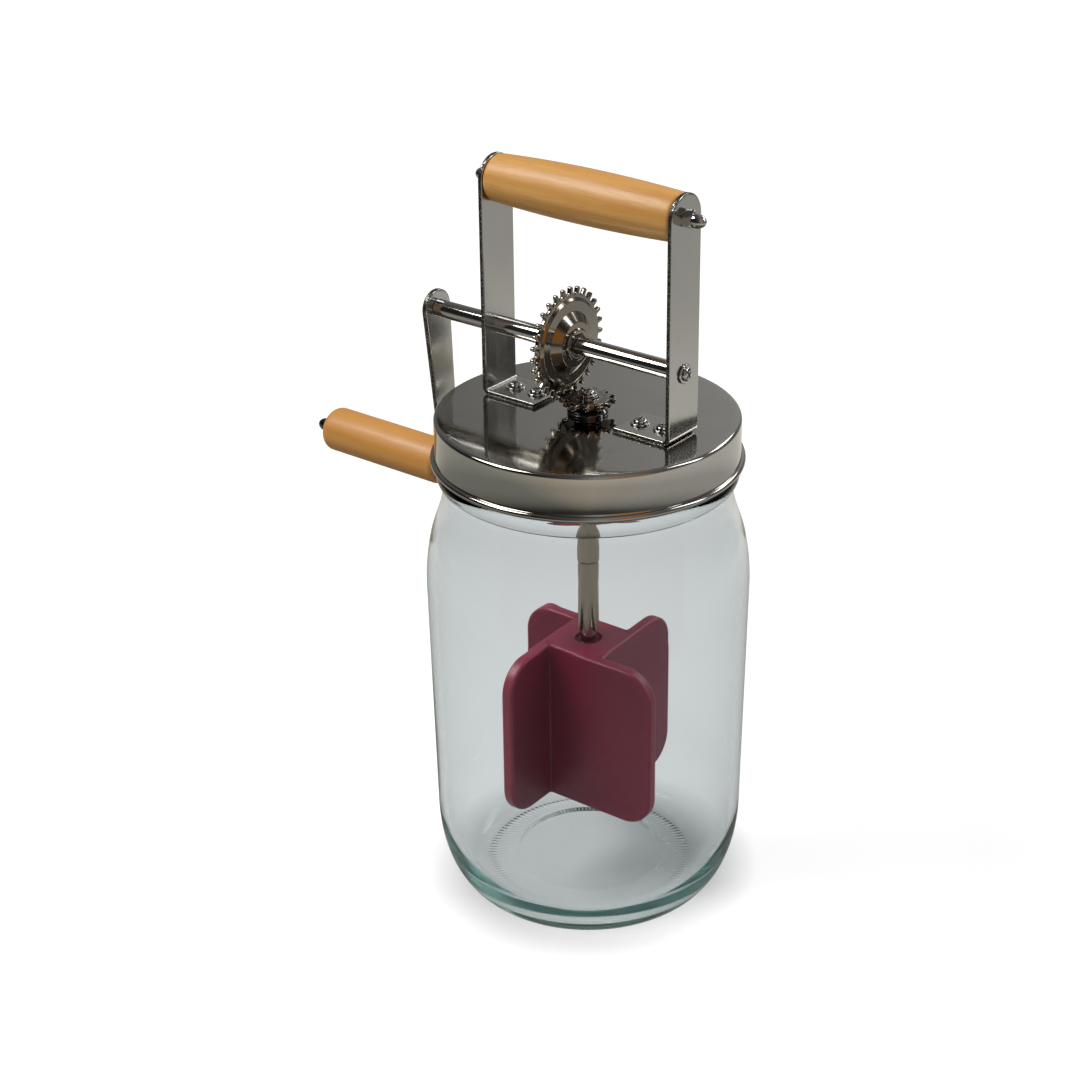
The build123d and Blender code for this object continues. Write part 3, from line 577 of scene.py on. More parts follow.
def varnished_wood(name, pale, dark, axis):
    """Straight-grained wood: growth rings as bands of the distance from a far axis, bent by noise stretched
    along the grain, fine short pores, and a satin varnish that lies unevenly over them."""
    w = Wiring(bpy.data.materials.new(name))
    here = w.coordinates(move=(0, 0.021 - axis[0], 0.034 - axis[1]))
    bend = w.noise(w.coordinates(scale=(0.14, 1, 1)), 70.0, 3.0, 0.6)
    x, y, z = w.add("SeparateXYZ", None, Vector=here).outputs
    from_axis = w.length(y, z)
    ring = w.maths("ADD", w.product(from_axis, 430.0), w.product(bend, 2.6))
    band = w.maths("PINGPONG", ring, 1.0)
    fibre = w.noise(w.coordinates(scale=(0.05, 1, 1)), 2300.0, 3.0, 0.65)
    streak = w.noise(w.coordinates(scale=(0.06, 1, 1), move=(0.2, 0.4, 0.1)), 260.0, 2.0, 0.55)
    tone = w.maths("ADD", w.product(band, 0.30), w.product(streak, 0.70))
    shade = w.ramp(tone, [(0.15, dark), (0.75, pale)])
    shade = w.mix(w.range(fibre, 0.50, 0.72, 0.0, 0.35), shade, [c * 0.70 for c in dark])
    patch = w.noise(w.coordinates(scale=(0.5, 1, 1)), 46.0, 2.0, 0.5)
    shade = w.mix(w.range(patch, 0.35, 0.7, 0.0, 0.25), shade, [min(1.0, c * 1.12) for c in pale])
    speckle = w.noise(w.coordinates(scale=(0.5, 1, 1)), 1500.0, 2.0, 0.6)
    uneven = w.bump(speckle, 0.6, 0.05 * MM)
    w.set(
        Base_Color=shade, Roughness=w.range(fibre, 0.3, 0.7, 0.45, 0.60), Normal=uneven,
        Coat_Weight=0.3, Coat_Roughness=0.3, Coat_IOR=1.5,
    )
    lumpy = w.bump(w.noise(w.coordinates(scale=(0.4, 1, 1)), 420.0, 2.0, 0.6), 0.7, 0.06 * MM)
    w.put(w.shader, "Coat Normal", w.bump(speckle, 0.35, 0.05 * MM, lumpy))
    return w.owner


def satin_silicone(name, tint, thin):
    """Moulded silicone: a satin dark red with a painted glow of paler red on its rims, standing in for light
    through the thin silicone, with slow clouds in its gloss and a few specks of dust, which are small cells'
    middles in one cell of four."""
    w = Wiring(bpy.data.materials.new(name))
    here = w.coordinates()
    cloud = w.noise(here, 55.0, 2.0, 0.5)
    rim = w.add("Attribute", {"attribute_name": "rim"}).outputs["Fac"]
    # painted glow: up to three quarters of the way to the paler red near the blades' rims
    shade = w.mix(w.product(rim, 0.75), tint, thin)
    shade = w.mix(w.range(cloud, 0.35, 0.7, 0.0, 0.25), shade, [c * 1.25 for c in tint])
    cells = w.add("TexVoronoi", None, Vector=here, Scale=150.0)
    chosen = w.maths("GREATER_THAN", w.add("SeparateColor", None, Color=cells.outputs["Color"]).outputs[0], 0.75)
    dust = w.product(w.range(cells.outputs["Distance"], 0.010, 0.020, 0.6, 0.0), chosen)
    shade = w.mix(dust, shade, (0.55, 0.45, 0.45))
    w.set(
        Base_Color=shade, Roughness=w.range(cloud, 0.3, 0.7, 0.36, 0.46), Normal=w.bump(cloud, 0.5, 0.25 * MM),
        Subsurface_Weight=0.10, Subsurface_Radius=(1.0, 0.25, 0.2), Subsurface_Scale=1.2 * MM,
        Specular_IOR_Level=0.35,
    )
    return w.owner


def soft_liner(name, tint):
    """The seal: a matt moulded compound with fine pores."""
    w = Wiring(bpy.data.materials.new(name))
    pores = w.noise(w.coordinates(), 1200.0, 3.0, 0.6)
    shade = w.ramp(pores, [(0.3, [c * 0.9 for c in tint]), (0.7, tint)])
    w.set(Base_Color=shade, Roughness=0.6, Normal=w.bump(pores, 0.3, 0.04 * MM))
    return w.owner


def finish(kind):
    """Each material is made once and then shared."""
    made = bpy.data.materials.get(kind)
    if made:
        return made
    f = bpy.context.scene.mixer_finishes
    makers = {
        "Clear glass": lambda: clear_glass(kind, f.glass, f.glass_depth),
        "Lid plate": lambda: plated(kind, f.lid, 0.05, 0.06, ripple=0.02 * MM, spots=0.30),
        "Strap plate": lambda: plated(
            kind, f.strap, 0.12, 0.10, grain=(2400, 2400, 60), ripple=0.03 * MM, spots=0.15, cut_edge=True
        ),
        "Bright plate": lambda: plated(kind, f.bright, 0.07, 0.05, spots=0.10),
        "Gear plate": lambda: plated(kind, f.gear, 0.09, 0.07, ripple=0.02 * MM, spots=0.25),
        "Dull tube": lambda: plated(kind, f.tube, 0.30, 0.14, grain=(900, 900, 900), spots=0.35),
        # painted shade: a near-black plate for small parts that sit in shade and mirror dark parts
        "Plate darkened as painted shade": lambda: plated(kind, [0.10, 0.10, 0.105], 0.10, 0.08, spots=0.2),
        "Staked steel": lambda: plated(kind, [0.08, 0.075, 0.07], 0.32, 0.2, spots=0.5),
        "Varnished handle": lambda: varnished_wood(kind, f.wood_light, f.wood_dark, (0.0, HANDLE_AXIS)),
        "Varnished grip": lambda: varnished_wood(
            kind, [c * k for c, k in zip(f.wood_light, (0.86, 0.76, 0.62))], f.wood_dark, (PIN_SIDE, PIN_AXIS)
        ),
        "Silicone": lambda: satin_silicone(kind, f.silicone, f.silicone_rim_glow),
        "Liner": lambda: soft_liner(kind, f.liner),
    }
    return makers[kind]()


def dress(node, kind):
    """Gives a CAD node that stays on show its finish."""
    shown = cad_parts[node]
    for place in shown.material_slots:
        place.material = finish(kind)


# --- Pieces ---------------------------------------------------------------------------------------------


class MIXER_OT_jar(Operator):
    """Blow the glass jar: one closed wall with its bead, heel, push-up, thread ridges and stippled foot."""

    bl_idname = "mixer.jar"
    bl_label = "Glass jar"

    def execute(self, context):
        s = context.scene.mixer_jar
        top, shoulder = high("jar", 2), radius("jar")
        drops = np.array([58.0, 41.0, 27.0, 22.0]) * MM
        radii = np.array([shoulder, 52.2 * MM, 48.1 * MM, s.neck_radius])
        bead_foot, bead_top = top - 20.1 * MM, top - 14.1 * MM
        turn = np.linspace(0, QUARTER, 26)
        heel_run = s.heel_radius - s.foot_radius

        def heel_line(foot, base, turn):
            """A quarter of an ellipse from the foot at the base's height up to the jar's side."""
            return np.stack([foot + heel_run * np.sin(turn), base + (s.heel_height - base) * (1 - np.cos(turn))], -1)

        heel = heel_line(s.foot_radius, 0.0, turn)
        side = np.linspace((s.heel_radius, s.heel_height), (shoulder, top - drops[0]), 14)
        bend = smooth_line(radii, top - drops, (shoulder - s.heel_radius) / (top - drops[0] - s.heel_height))
        curve = np.linspace(-QUARTER, QUARTER, 13)
        bead_middle = (bead_foot + bead_top) / 2
        bead_base = (s.neck_radius + s.finish_radius) / 2
        bead_size = np.array([s.bead_radius - bead_base, (bead_top - bead_foot) / 2])
        bead = np.array([bead_base, bead_middle]) + bead_size * around(curve)
        finish_wall = np.linspace((s.finish_radius, bead_top + 0.4 * MM), (s.finish_radius, top - 1.4 * MM), 22)
        mouth = s.finish_radius - s.wall
        rim = rounded(
            [(s.finish_radius, top - 1.4 * MM, 0), (s.finish_radius, top, 1.2 * MM), (mouth, top, 1.2 * MM),
             (mouth, top - 1.4 * MM, 0)], 7,
        )
        inside_neck = np.linspace((mouth, top - 2 * MM), (mouth, bead_top), 5)
        inner_bend = bend[::-1] - [s.wall, 0]
        inner_bend = inner_bend[inner_bend[:, 1] < bead_foot]
        inner_side = side[::-1] - [s.wall, 0]
        inner_foot = s.foot_radius - s.wall
        inner_heel = heel_line(inner_foot, s.floor, turn[::-1])
        ring = s.foot_radius - s.foot_width
        inner_floor = rounded(
            [(inner_foot, s.floor, 0), (ring, s.floor, 3 * MM), (25 * MM, s.floor + 0.7 * s.push_up, 2 * MM),
             (0, s.floor + s.push_up, 0)], 9,
        )
        hollow = rounded([(0, s.push_up, 0), (25 * MM, s.push_up, 0.8 * MM), (ring, 0.3 * MM, 0)], 7)
        bearing = np.linspace((ring, 0.3 * MM), (s.foot_radius - 0.5 * MM, 0.0), 14)
        underside = np.concatenate([hollow[:-7], bearing, [(s.foot_radius, 0.0)]])
        outer = np.concatenate([underside, heel[1:], side[1:], bend[1:], bead, finish_wall])
        profile = np.concatenate(
            [outer, rim, inside_neck, inner_bend, inner_side[1:], inner_heel[1:], inner_floor[1:]]
        )
        points = turned(profile, s.columns)
        self.stipple(points, profile, turns(s.columns), len(outer), s)
        self.ridge(points, profile, turns(s.columns), len(outer), top)
        made = piece("glass_jar", [quads(points)], finish("Clear glass"), "jar", ["jar"], sharp=75.0)
        made.visible_shadow = False     # the lamps' light passes the clear wall
        return {"FINISHED"}

    @staticmethod
    def stipple(points, profile, angle, outer_count, s):
        """Small bumps round the foot, added to the points. The bearing ring rises by stipple * bump(a) *
        window(r), and the outer foot swells by half of it just above the ground; the bump is a raised
        cosine round the jar."""
        outside = np.arange(len(profile)) < outer_count
        r, z = profile.T
        bump = 0.5 + 0.5 * np.cos(angle * s.stipple_count)
        ring = np.exp(-(((r - 34.6 * MM) / (1.7 * MM)) ** 4)) * outside * (z < 0.5 * MM)
        points[..., 2] += s.stipple * ring[:, None] * bump[None]
        swell = np.exp(-(((z - 2.6 * MM) / (1.5 * MM)) ** 2)) * outside * (r > s.foot_radius - 0.2 * MM)
        grown = 0.5 * s.stipple * swell[:, None] * bump[None]
        points[..., :2] += grown[..., None] * around(angle)

    @staticmethod
    def ridge(points, profile, angle, outer_count, top):
        """Thread ridges, added to the points: each lifts the finish by a bell in (z - helix(a)) that fades
        at the ridge's two ends."""
        rows = np.arange(len(profile))[:, None]
        within = (angle[None] + math.radians(8.0)) % (FULL / LUGS)
        centre = top - 10.9 * MM + THREAD_LEAD * within / FULL
        bell = np.exp(-(((profile[:, 1:] - centre) / (1.15 * MM)) ** 4))
        span = math.radians(38.0)
        ends = np.clip(within / math.radians(3), 0, 1) * np.clip((span - within) / math.radians(3), 0, 1)
        lift = 1.7 * MM * bell * ends * (rows < outer_count) * (profile[:, 1:] > top - 14 * MM)
        points[..., :2] += lift[..., None] * around(angle)


def smooth_line(radii, heights, first_slope, steps=34):
    """A cubic Hermite line through (radius, height) points: at each point its slope is that of its two
    neighbours, except the given slope at the first and none at the last."""
    slope = np.gradient(radii, heights)
    slope[0], slope[-1] = first_slope, 0.0
    at = np.linspace(heights[0], heights[-1], steps)
    k = np.clip(np.searchsorted(heights, at, side="right") - 1, 0, len(heights) - 2)
    span = heights[k + 1] - heights[k]
    t = (at - heights[k]) / span
    value = (
        (2 * t**3 - 3 * t**2 + 1) * radii[k] + (t**3 - 2 * t**2 + t) * span * slope[k]
        + (3 * t**2 - 2 * t**3) * radii[k + 1] + (t**3 - t**2) * span * slope[k + 1]
    )
    return np.stack([value, at], -1)


class MIXER_OT_lid(Operator):
    """Press the lid: a flat top, a rounded edge, a skirt with a rolled edge and six lugs."""

    bl_idname = "mixer.lid"
    bl_label = "Lid and seal"

    def execute(self, context):
        s = context.scene.mixer_metal
        outer, inner = s.lid_radius, s.lid_radius - s.sheet
        curl_at = low("lid_shell", 2) + s.curl
        turn = np.linspace(math.radians(100), math.radians(-205), 26)
        curl = np.array([inner + s.curl, curl_at]) + s.curl * around(turn)
        flat_end = outer - s.lid_rounding - 2 * MM
        top = np.linspace((0, LID_TOP), (flat_end, LID_TOP), 24)
        edge = rounded(
            [(flat_end, LID_TOP, 0), (outer, LID_TOP, s.lid_rounding),
             (outer, curl[0, 1] + 0.5 * MM, 0)], 12,
        )
        within = rounded(
            [(inner, curl_at + 0.5 * MM, 0), (inner, LID_UNDER, s.lid_rounding - s.sheet * 0.8), (0, LID_UNDER, 0)], 6
        )
        profile = np.concatenate([top, edge, curl, within])
        surfaces = [quads(turned(profile, 256))]
        surfaces += [quads(self.lug(k, inner, curl_at)) for k in range(LUGS)]
        piece("lid_pressing", surfaces, finish("Lid plate"), "head", ["lid_shell"])
        inner_seal, outer_seal = 42.6 * MM, radius("seal_ring")
        ring = rounded(
            [(inner_seal, low("seal_ring", 2), 0.5 * MM), (outer_seal, low("seal_ring", 2), 0.5 * MM),
             (outer_seal, LID_UNDER, 0.1 * MM), (inner_seal, LID_UNDER, 0.5 * MM)], 5, closed=True,
        )
        surface = turned(ring, 192)
        piece("seal_liner", [quads(surface, wrap_rows=True)], finish("Liner"), "seal", ["seal_ring"])
        return {"FINISHED"}

    @staticmethod
    def lug(index, inner, curl_at):
        """A rounded bar swept through twelve degrees inside the skirt. Its section shrinks by sqrt(1 - t^8)
        towards both ends, where t runs from -1 to 1 along it."""
        section = rounded(
            [(47.1 * MM, curl_at - 0.6 * MM, 0.4 * MM), (inner + 0.3 * MM, curl_at - 0.6 * MM, 0.2 * MM),
             (inner + 0.3 * MM, curl_at + 0.6 * MM, 0.2 * MM), (47.1 * MM, curl_at + 0.6 * MM, 0.4 * MM)], 4,
            closed=True,
        )
        t = np.linspace(-1, 1, 17)
        size = np.sqrt(np.maximum(1 - np.abs(t) ** 8, 0))[:, None, None]
        heart = np.array([inner, curl_at])
        line = heart + (section[None] - heart) * size
        angle = (index * FULL / LUGS + t * math.radians(6))[:, None]
        return np.stack([line[..., 0] * np.cos(angle), line[..., 0] * np.sin(angle), line[..., 1]], -1)


class MIXER_OT_uprights(Operator):
    """Bend the two uprights: rounded straps with a domed top and a foot turned inwards."""

    bl_idname = "mixer.uprights"
    bl_label = "Uprights"

    def execute(self, context):
        s = context.scene.mixer_metal
        half, edge, thick = radius("right_upright"), s.strap_edge, s.strap
        foot_end, outside = low("right_upright", 0), high("right_upright", 0)
        middle_x, middle_z = outside - thick / 2, LID_TOP + thick / 2
        bend = s.strap_bend
        flat = middle_x - foot_end - bend
        arc = bend * QUARTER
        rise = high("right_upright", 2) - middle_z - bend
        total = flat + arc + rise
        dome_at = total - half
        rim = edge * (1 - np.cos(np.linspace(0, QUARTER, 5)))
        dome = dome_at + half * np.sin(np.linspace(0, QUARTER, 22))
        stations = np.concatenate(
            [rim, np.linspace(2 * edge, flat, 7), flat + np.linspace(0.1, 1, 9) * arc,
             np.linspace(flat + arc + 2 * MM, dome_at - 1 * MM, 26), dome]
        )

        def half_width(at):
            return np.sqrt(np.maximum(half**2 - np.maximum(at - dome_at, 0) ** 2, 0))

        def distance(at, across):
            side = np.where(at > dome_at, half - np.hypot(at - dome_at, across), half - np.abs(across))
            a, b = np.maximum(edge - at, 0), np.maximum(edge - side, 0)
            return edge - np.hypot(a, b)

        for side, node in ((1, "right_upright"), (-1, "left_upright")):

            def middle_line(loop, side=side):
                """Along the foot, a quarter turn, then straight up; the thickness lies along the line's
                normal."""
                at, across, up = loop[..., 0], loop[..., 1], loop[..., 2]
                turn = np.clip((at - flat) / bend, 0, QUARTER)
                over = np.maximum(at - flat - arc, 0)
                x = foot_end + np.minimum(at, flat) + bend * np.sin(turn) - up * np.sin(turn)
                z = middle_z + bend * (1 - np.cos(turn)) + over + up * np.cos(turn)
                return np.stack([side * x, across, z], -1)

            points, cut = bent_plate(stations, half_width, distance, middle_line, thick, edge)
            piece(node.replace("_upright", "_strap"), [quads(points)], finish("Strap plate"), "head",
                  [node], mark=("cut", cut))
        return {"FINISHED"}


def pan_head(head, height, recess, arm, depth, count=96):
    """A pan head with a cross recess, about local Z from its seat up. The dome's height at a radius r is
    side + (height - side) * sqrt(1 - (r / rim)^3). At each angle the recess reaches to the edge of a cross
    of two bars, and rows run from its floor up its wall, then share the way out to the round rim, and down
    to the seat."""
    ring = around(turns(count))
    c, t = np.maximum(np.abs(ring), 1e-6).T
    cross = np.maximum(np.minimum(recess / c, arm / t), np.minimum(recess / t, arm / c))
    rim, side = head / 2, 0.32 * height

    def dome(r):
        return side + (height - side) * np.sqrt(np.maximum(1 - (r / rim) ** 3, 0))

    rows = [(0 * cross, 0 * cross + height - depth), (0.5 * cross, 0 * cross + height - depth)]
    rows += [(0.88 * cross, 0 * cross + height - 0.8 * depth), (0.96 * cross, dome(cross) - 0.08 * MM)]
    share = np.sin(np.linspace(0, QUARTER, 13))
    rows += [(cross + (rim - cross) * k, dome(cross + (rim - cross) * k)) for k in share]
    rows += [(0 * cross + rim, 0 * cross + 0.1 * MM), (0 * cross + rim - 0.1 * MM, 0 * cross)]
    rows += [(0 * cross, 0 * cross)]
    return np.stack([np.column_stack([ring * r[:, None], z]) for r, z in rows])


def screw_shank(size, length_down, count=24):
    """A threaded shank under a head: radius = size - depth * (a saw wave of z / pitch - a / turn)."""
    rows = ROWS_PER_PITCH * max(4, int(length_down / SCREW_PITCH))
    z = -np.linspace(0, length_down, rows)[:, None]
    angle = turns(count)[None]
    phase = (z / SCREW_PITCH - angle / FULL) % 1.0
    size_here = size - 0.28 * MM * np.abs(2 * phase - 1)
    size_here[[0, -1]] = 0
    z = np.broadcast_to(z, size_here.shape)
    return np.stack([size_here * np.cos(angle), size_here * np.sin(angle), z], -1)


def hex_nut(flats, bottom, top, bore, count=72):
    """A hex nut with both faces' corners turned, closed through its bore."""
    steps = np.array([(0, 0), (0.18, 0.1), (0.55, 0.32), (9, 0.75)]) * MM
    rows = chamfered_hex(flats, [(more, top - down) for more, down in steps], count)
    rows += chamfered_hex(flats, [(more, bottom + up) for more, up in steps[::-1]], count)
    rows += [(circle(bore + 0.3 * MM, count), bottom), (circle(bore, count), bottom + 0.3 * MM)]
    rows += [(circle(bore, count), top - 0.3 * MM), (circle(bore + 0.3 * MM, count), top)]
    return stack(rows)


class MIXER_OT_fasteners(Operator):
    """Drive the screws and fit the washers and nuts."""

    bl_idname = "mixer.fasteners"
    bl_label = "Screws, washers and nuts"

    def execute(self, context):
        s = context.scene.mixer_metal
        bright = finish("Bright plate")
        outer_x = high("foot_screws", 0) - radius("foot_screws")
        places = [(side * (outer_x - step), 0.0) for side in (-1, 1) for step in (0.0, 8.8 * MM)]
        seat = high("foot_washers", 2)
        drop = seat - low("foot_screws", 2)
        head = pan_head(s.head, s.head_height, 1.4 * MM, 0.36 * MM, 0.85 * MM)
        shank = screw_shank(s.screw / 2, drop)
        turns = (0.35, 1.1, 0.72, 0.2)
        screws, washers, nuts = [], [], []
        hole = s.screw / 2 + HOLE_PLAY
        flat = washer("foot_washers", hole)
        nut = hex_nut(s.nut, low("foot_nuts", 2), high("foot_nuts", 2), s.screw / 2)
        for (x, y), turn in zip(places, turns):
            screws += [quads(spun(head, turn) + [x, y, seat]), quads(shank + [x, y, seat])]
            washers.append(quads(flat + [x, y, 0], wrap_rows=True))
            nuts.append(quads(spun(nut, turn) + [x, y, 0], wrap_rows=True))
        piece("foot_screw_set", screws, bright, "head", ["foot_screws"])
        piece("foot_washer_set", washers, bright, "head", ["foot_washers"])
        piece("foot_nut_set", nuts, bright, "head", ["foot_nuts"])

        end_seat = high("shaft_end_washer", 0)
        at = (0, 0, SHAFT_AXIS)
        end = [quads(stand(spun(head, 0.5) + [0, 0, end_seat], "X", at)),
               quads(stand(shank[:SHORT_SHANK] + [0, 0, end_seat], "X", at))]
        piece("shaft_end_pan_screw", end, bright, "crank", ["shaft_end_screw"])
        ring = washer("shaft_end_washer", hole, axis=0)
        piece("shaft_end_ring", [quads(stand(ring, "X", at), wrap_rows=True)], bright, "crank",
              ["shaft_end_washer"])

        pinion_seat = high("pinion_washer", 2)
        top = [quads(spun(head, 0.9) + [0, 0, pinion_seat]), quads(shank[:SHORT_SHANK] + [0, 0, pinion_seat])]
        piece("pinion_pan_screw", top, bright, "spindle", ["pinion_screw"])
        ring = washer("pinion_washer", hole)
        piece("pinion_ring", [quads(ring, wrap_rows=True)], bright, "spindle", ["pinion_washer"])

        outside, tip = high("right_upright", 0), high("handle_cap_nuts", 0)
        right = stand(self.acorn(s.nut, tip - outside) + [0, 0, outside], "X", (0, 0, HANDLE_AXIS))
        left = (right * [-1, 1, 1])[:, ::-1]
        piece("acorn_nuts", [quads(right), quads(left)], bright, "head", ["handle_cap_nuts"])
        seat, tip = high("grip_cap_nut", 0), low("grip_cap_nut", 0)
        end = stand(self.acorn(s.nut, seat - tip) * [1, 1, -1] + [0, 0, seat], "X", (0, PIN_SIDE, PIN_AXIS))
        # the same near-black plate, painted as shade, as under the pinion
        piece("grip_acorn_nut", [quads(end)], finish("Plate darkened as painted shade"), "crank", ["grip_cap_nut"])
        for node in ("handle_rod", "collar_set_screw", "grip_washer", "sleeve_nut"):
            dress(node, "Bright plate")
        return {"FINISHED"}

    @staticmethod
    def acorn(flats, tall, count=72):
        """A hexagon with turned corners that runs into a dome, whose radius is dome * cos(a) at a height
        foot + (tall - foot) * sin(a)."""
        hex_end, dome = 3.0 * MM, 2.4 * MM
        foot = hex_end + 0.25 * MM
        steps = [(0, 0.0), (0.1 * MM, 0.08 * MM), (9 * MM, 0.35 * MM), (9 * MM, hex_end - 0.8 * MM),
                 (0.45 * MM, hex_end - 0.3 * MM), (0.12 * MM, hex_end - 0.08 * MM), (0, hex_end)]
        rows = [(circle(1e-9, count), 0.0)] + chamfered_hex(flats, steps, count) + [(circle(dome, count), hex_end)]
        rows += [(circle(dome * math.cos(a), count), foot + (tall - foot) * math.sin(a))
                 for a in np.linspace(0, QUARTER, 14)]
        return stack(rows)


class MIXER_OT_handles(Operator):
    """Turn the wooden carrying handle and the crank's grip."""

    bl_idname = "mixer.handles"
    bl_label = "Wooden handles"

    def execute(self, context):
        half = high("handle_grip", 0)
        end, mid, shoulder = 7.8 * MM, radius("handle_grip"), 1.1 * MM
        fine = shoulder * (1 - np.cos(np.linspace(0, QUARTER, 8)))
        x = np.concatenate([-half + fine, np.linspace(-half, half, 61)[2:-2], half - fine[::-1]])
        near = np.maximum(shoulder - (half - np.abs(x)), 0)
        arc = (half**2 + (mid - end) ** 2) / (2 * (mid - end))
        line = mid - arc + np.sqrt(arc**2 - x**2) - shoulder + np.sqrt(np.maximum(shoulder**2 - near**2, 0))
        profile = np.column_stack([np.concatenate([[0], line, [0]]), np.concatenate([[-half], x, [half]])])
        barrel = turned(profile, 128, "X", (0, 0, HANDLE_AXIS))
        piece("carrying_handle", [quads(barrel)], finish("Varnished handle"), "head", ["handle_grip"])

        near_end, far_end = high("crank_grip", 0), low("crank_grip", 0)
        size, neck, bore = radius("crank_grip"), 1.58 * MM, 2.08 * MM
        step = far_end + 3.0 * MM
        profile = rounded(
            [(neck, far_end, 0), (size, far_end, 3.0 * MM), (size, near_end, 3.0 * MM), (bore, near_end, 0.3 * MM),
             (bore, step, 0), (neck, step, 0)], 10, closed=True,
        )
        grip = turned(profile, 128, "X", (0, PIN_SIDE, PIN_AXIS))
        piece("crank_handle", [quads(grip, wrap_rows=True)], finish("Varnished grip"), "crank_grip",
              ["crank_grip"])
        return {"FINISHED"}


class MIXER_OT_crank(Operator):
    """Make the crank: the round shaft, the tapered arm and the grip's pin."""

    bl_idname = "mixer.crank"
    bl_label = "Crank"

    def execute(self, context):
        left, right = low("crank_shaft", 0), high("crank_shaft", 0)
        arm_outer, arm_inner = low("crank_arm", 0), high("crank_arm", 0)
        upright_inner = high("right_upright", 0) - 1.5 * MM
        bar, stub = radius("crank_shaft"), 2.3 * MM
        profile = rounded(
            [(0, left, 0), (stub + 0.35 * MM, left, 0.3 * MM), (stub + 0.6 * MM, arm_outer, 0), (stub, arm_outer, 0),
             (stub, arm_inner, 0), (bar, arm_inner, 0.3 * MM), (bar, upright_inner - 0.1 * MM, 0.25 * MM),
             (stub, upright_inner - 0.1 * MM, 0), (stub, right, 0.2 * MM), (0, right, 0)], 5,
        )
        at = (0, 0, SHAFT_AXIS)
        piece("crank_bar", [quads(turned(profile, 96, "X", at))], finish("Bright plate"), "crank",
              ["crank_shaft"])

        top, bottom = high("crank_arm", 2) - SHAFT_AXIS, PIN_AXIS - low("crank_arm", 2)
        reach = math.hypot(PIN_SIDE, SHAFT_AXIS - PIN_AXIS)
        hang = math.atan2(PIN_SIDE, SHAFT_AXIS - PIN_AXIS)
        lean = (top - bottom) / reach
        level = math.sqrt(1 - lean**2)
        edge, thick = 0.38 * MM, arm_inner - arm_outer

        def half_width(down):
            upper = np.sqrt(np.maximum(top**2 - down**2, 0))
            lower = np.sqrt(np.maximum(bottom**2 - (down - reach) ** 2, 0))
            flank = (top - lean * down) / level
            return np.where(down < top * lean, upper, np.where(down > reach + bottom * lean, lower, flank))

        def distance(down, across):
            side = (top - lean * down) - level * np.abs(across)
            upper, lower = top - np.hypot(down, across), bottom - np.hypot(down - reach, across)
            along = down * level - np.abs(across) * lean
            return np.where(along < 0, upper, np.where(along > reach * level, lower, side))

        def middle_line(loop):
            """Straight from the shaft to the pin, which hangs a few degrees off the plumb line."""
            down, across, out = loop[..., 0], loop[..., 1], loop[..., 2]
            y = down * math.sin(hang) + across * math.cos(hang)
            z = SHAFT_AXIS - down * math.cos(hang) + across * math.sin(hang)
            return np.stack([(arm_outer + arm_inner) / 2 + out, y, z], -1)

        stations = np.concatenate(
            [-top * np.cos(np.linspace(0, QUARTER, 22)), np.linspace(1 * MM, reach - 1 * MM, 24),
             reach + bottom * np.sin(np.linspace(0, QUARTER, 20))]
        )
        points, cut = bent_plate(stations, half_width, distance, middle_line, thick, edge)
        piece("crank_lever", [quads(points)], finish("Strap plate"), "crank", ["crank_arm"],
              mark=("cut", cut))

        tip, head_end = low("grip_pin", 0), high("grip_pin", 0)
        neck = low("crank_grip", 0) + 3.1 * MM
        size = radius("grip_pin")
        pin = rounded(
            [(0, tip, 0), (1.5 * MM, tip, 0.2 * MM), (1.5 * MM, neck, 0), (2.0 * MM, neck, 0),
             (2.0 * MM, arm_inner, 0), (size, arm_inner, 0.1 * MM), (size, head_end, 0.6 * MM), (0, head_end, 0)], 5,
        )
        pin = turned(pin, 64, "X", (0, PIN_SIDE, PIN_AXIS))
        piece("grip_rivet", [quads(pin)], finish("Staked steel"), "crank", ["grip_pin"])
        return {"FINISHED"}


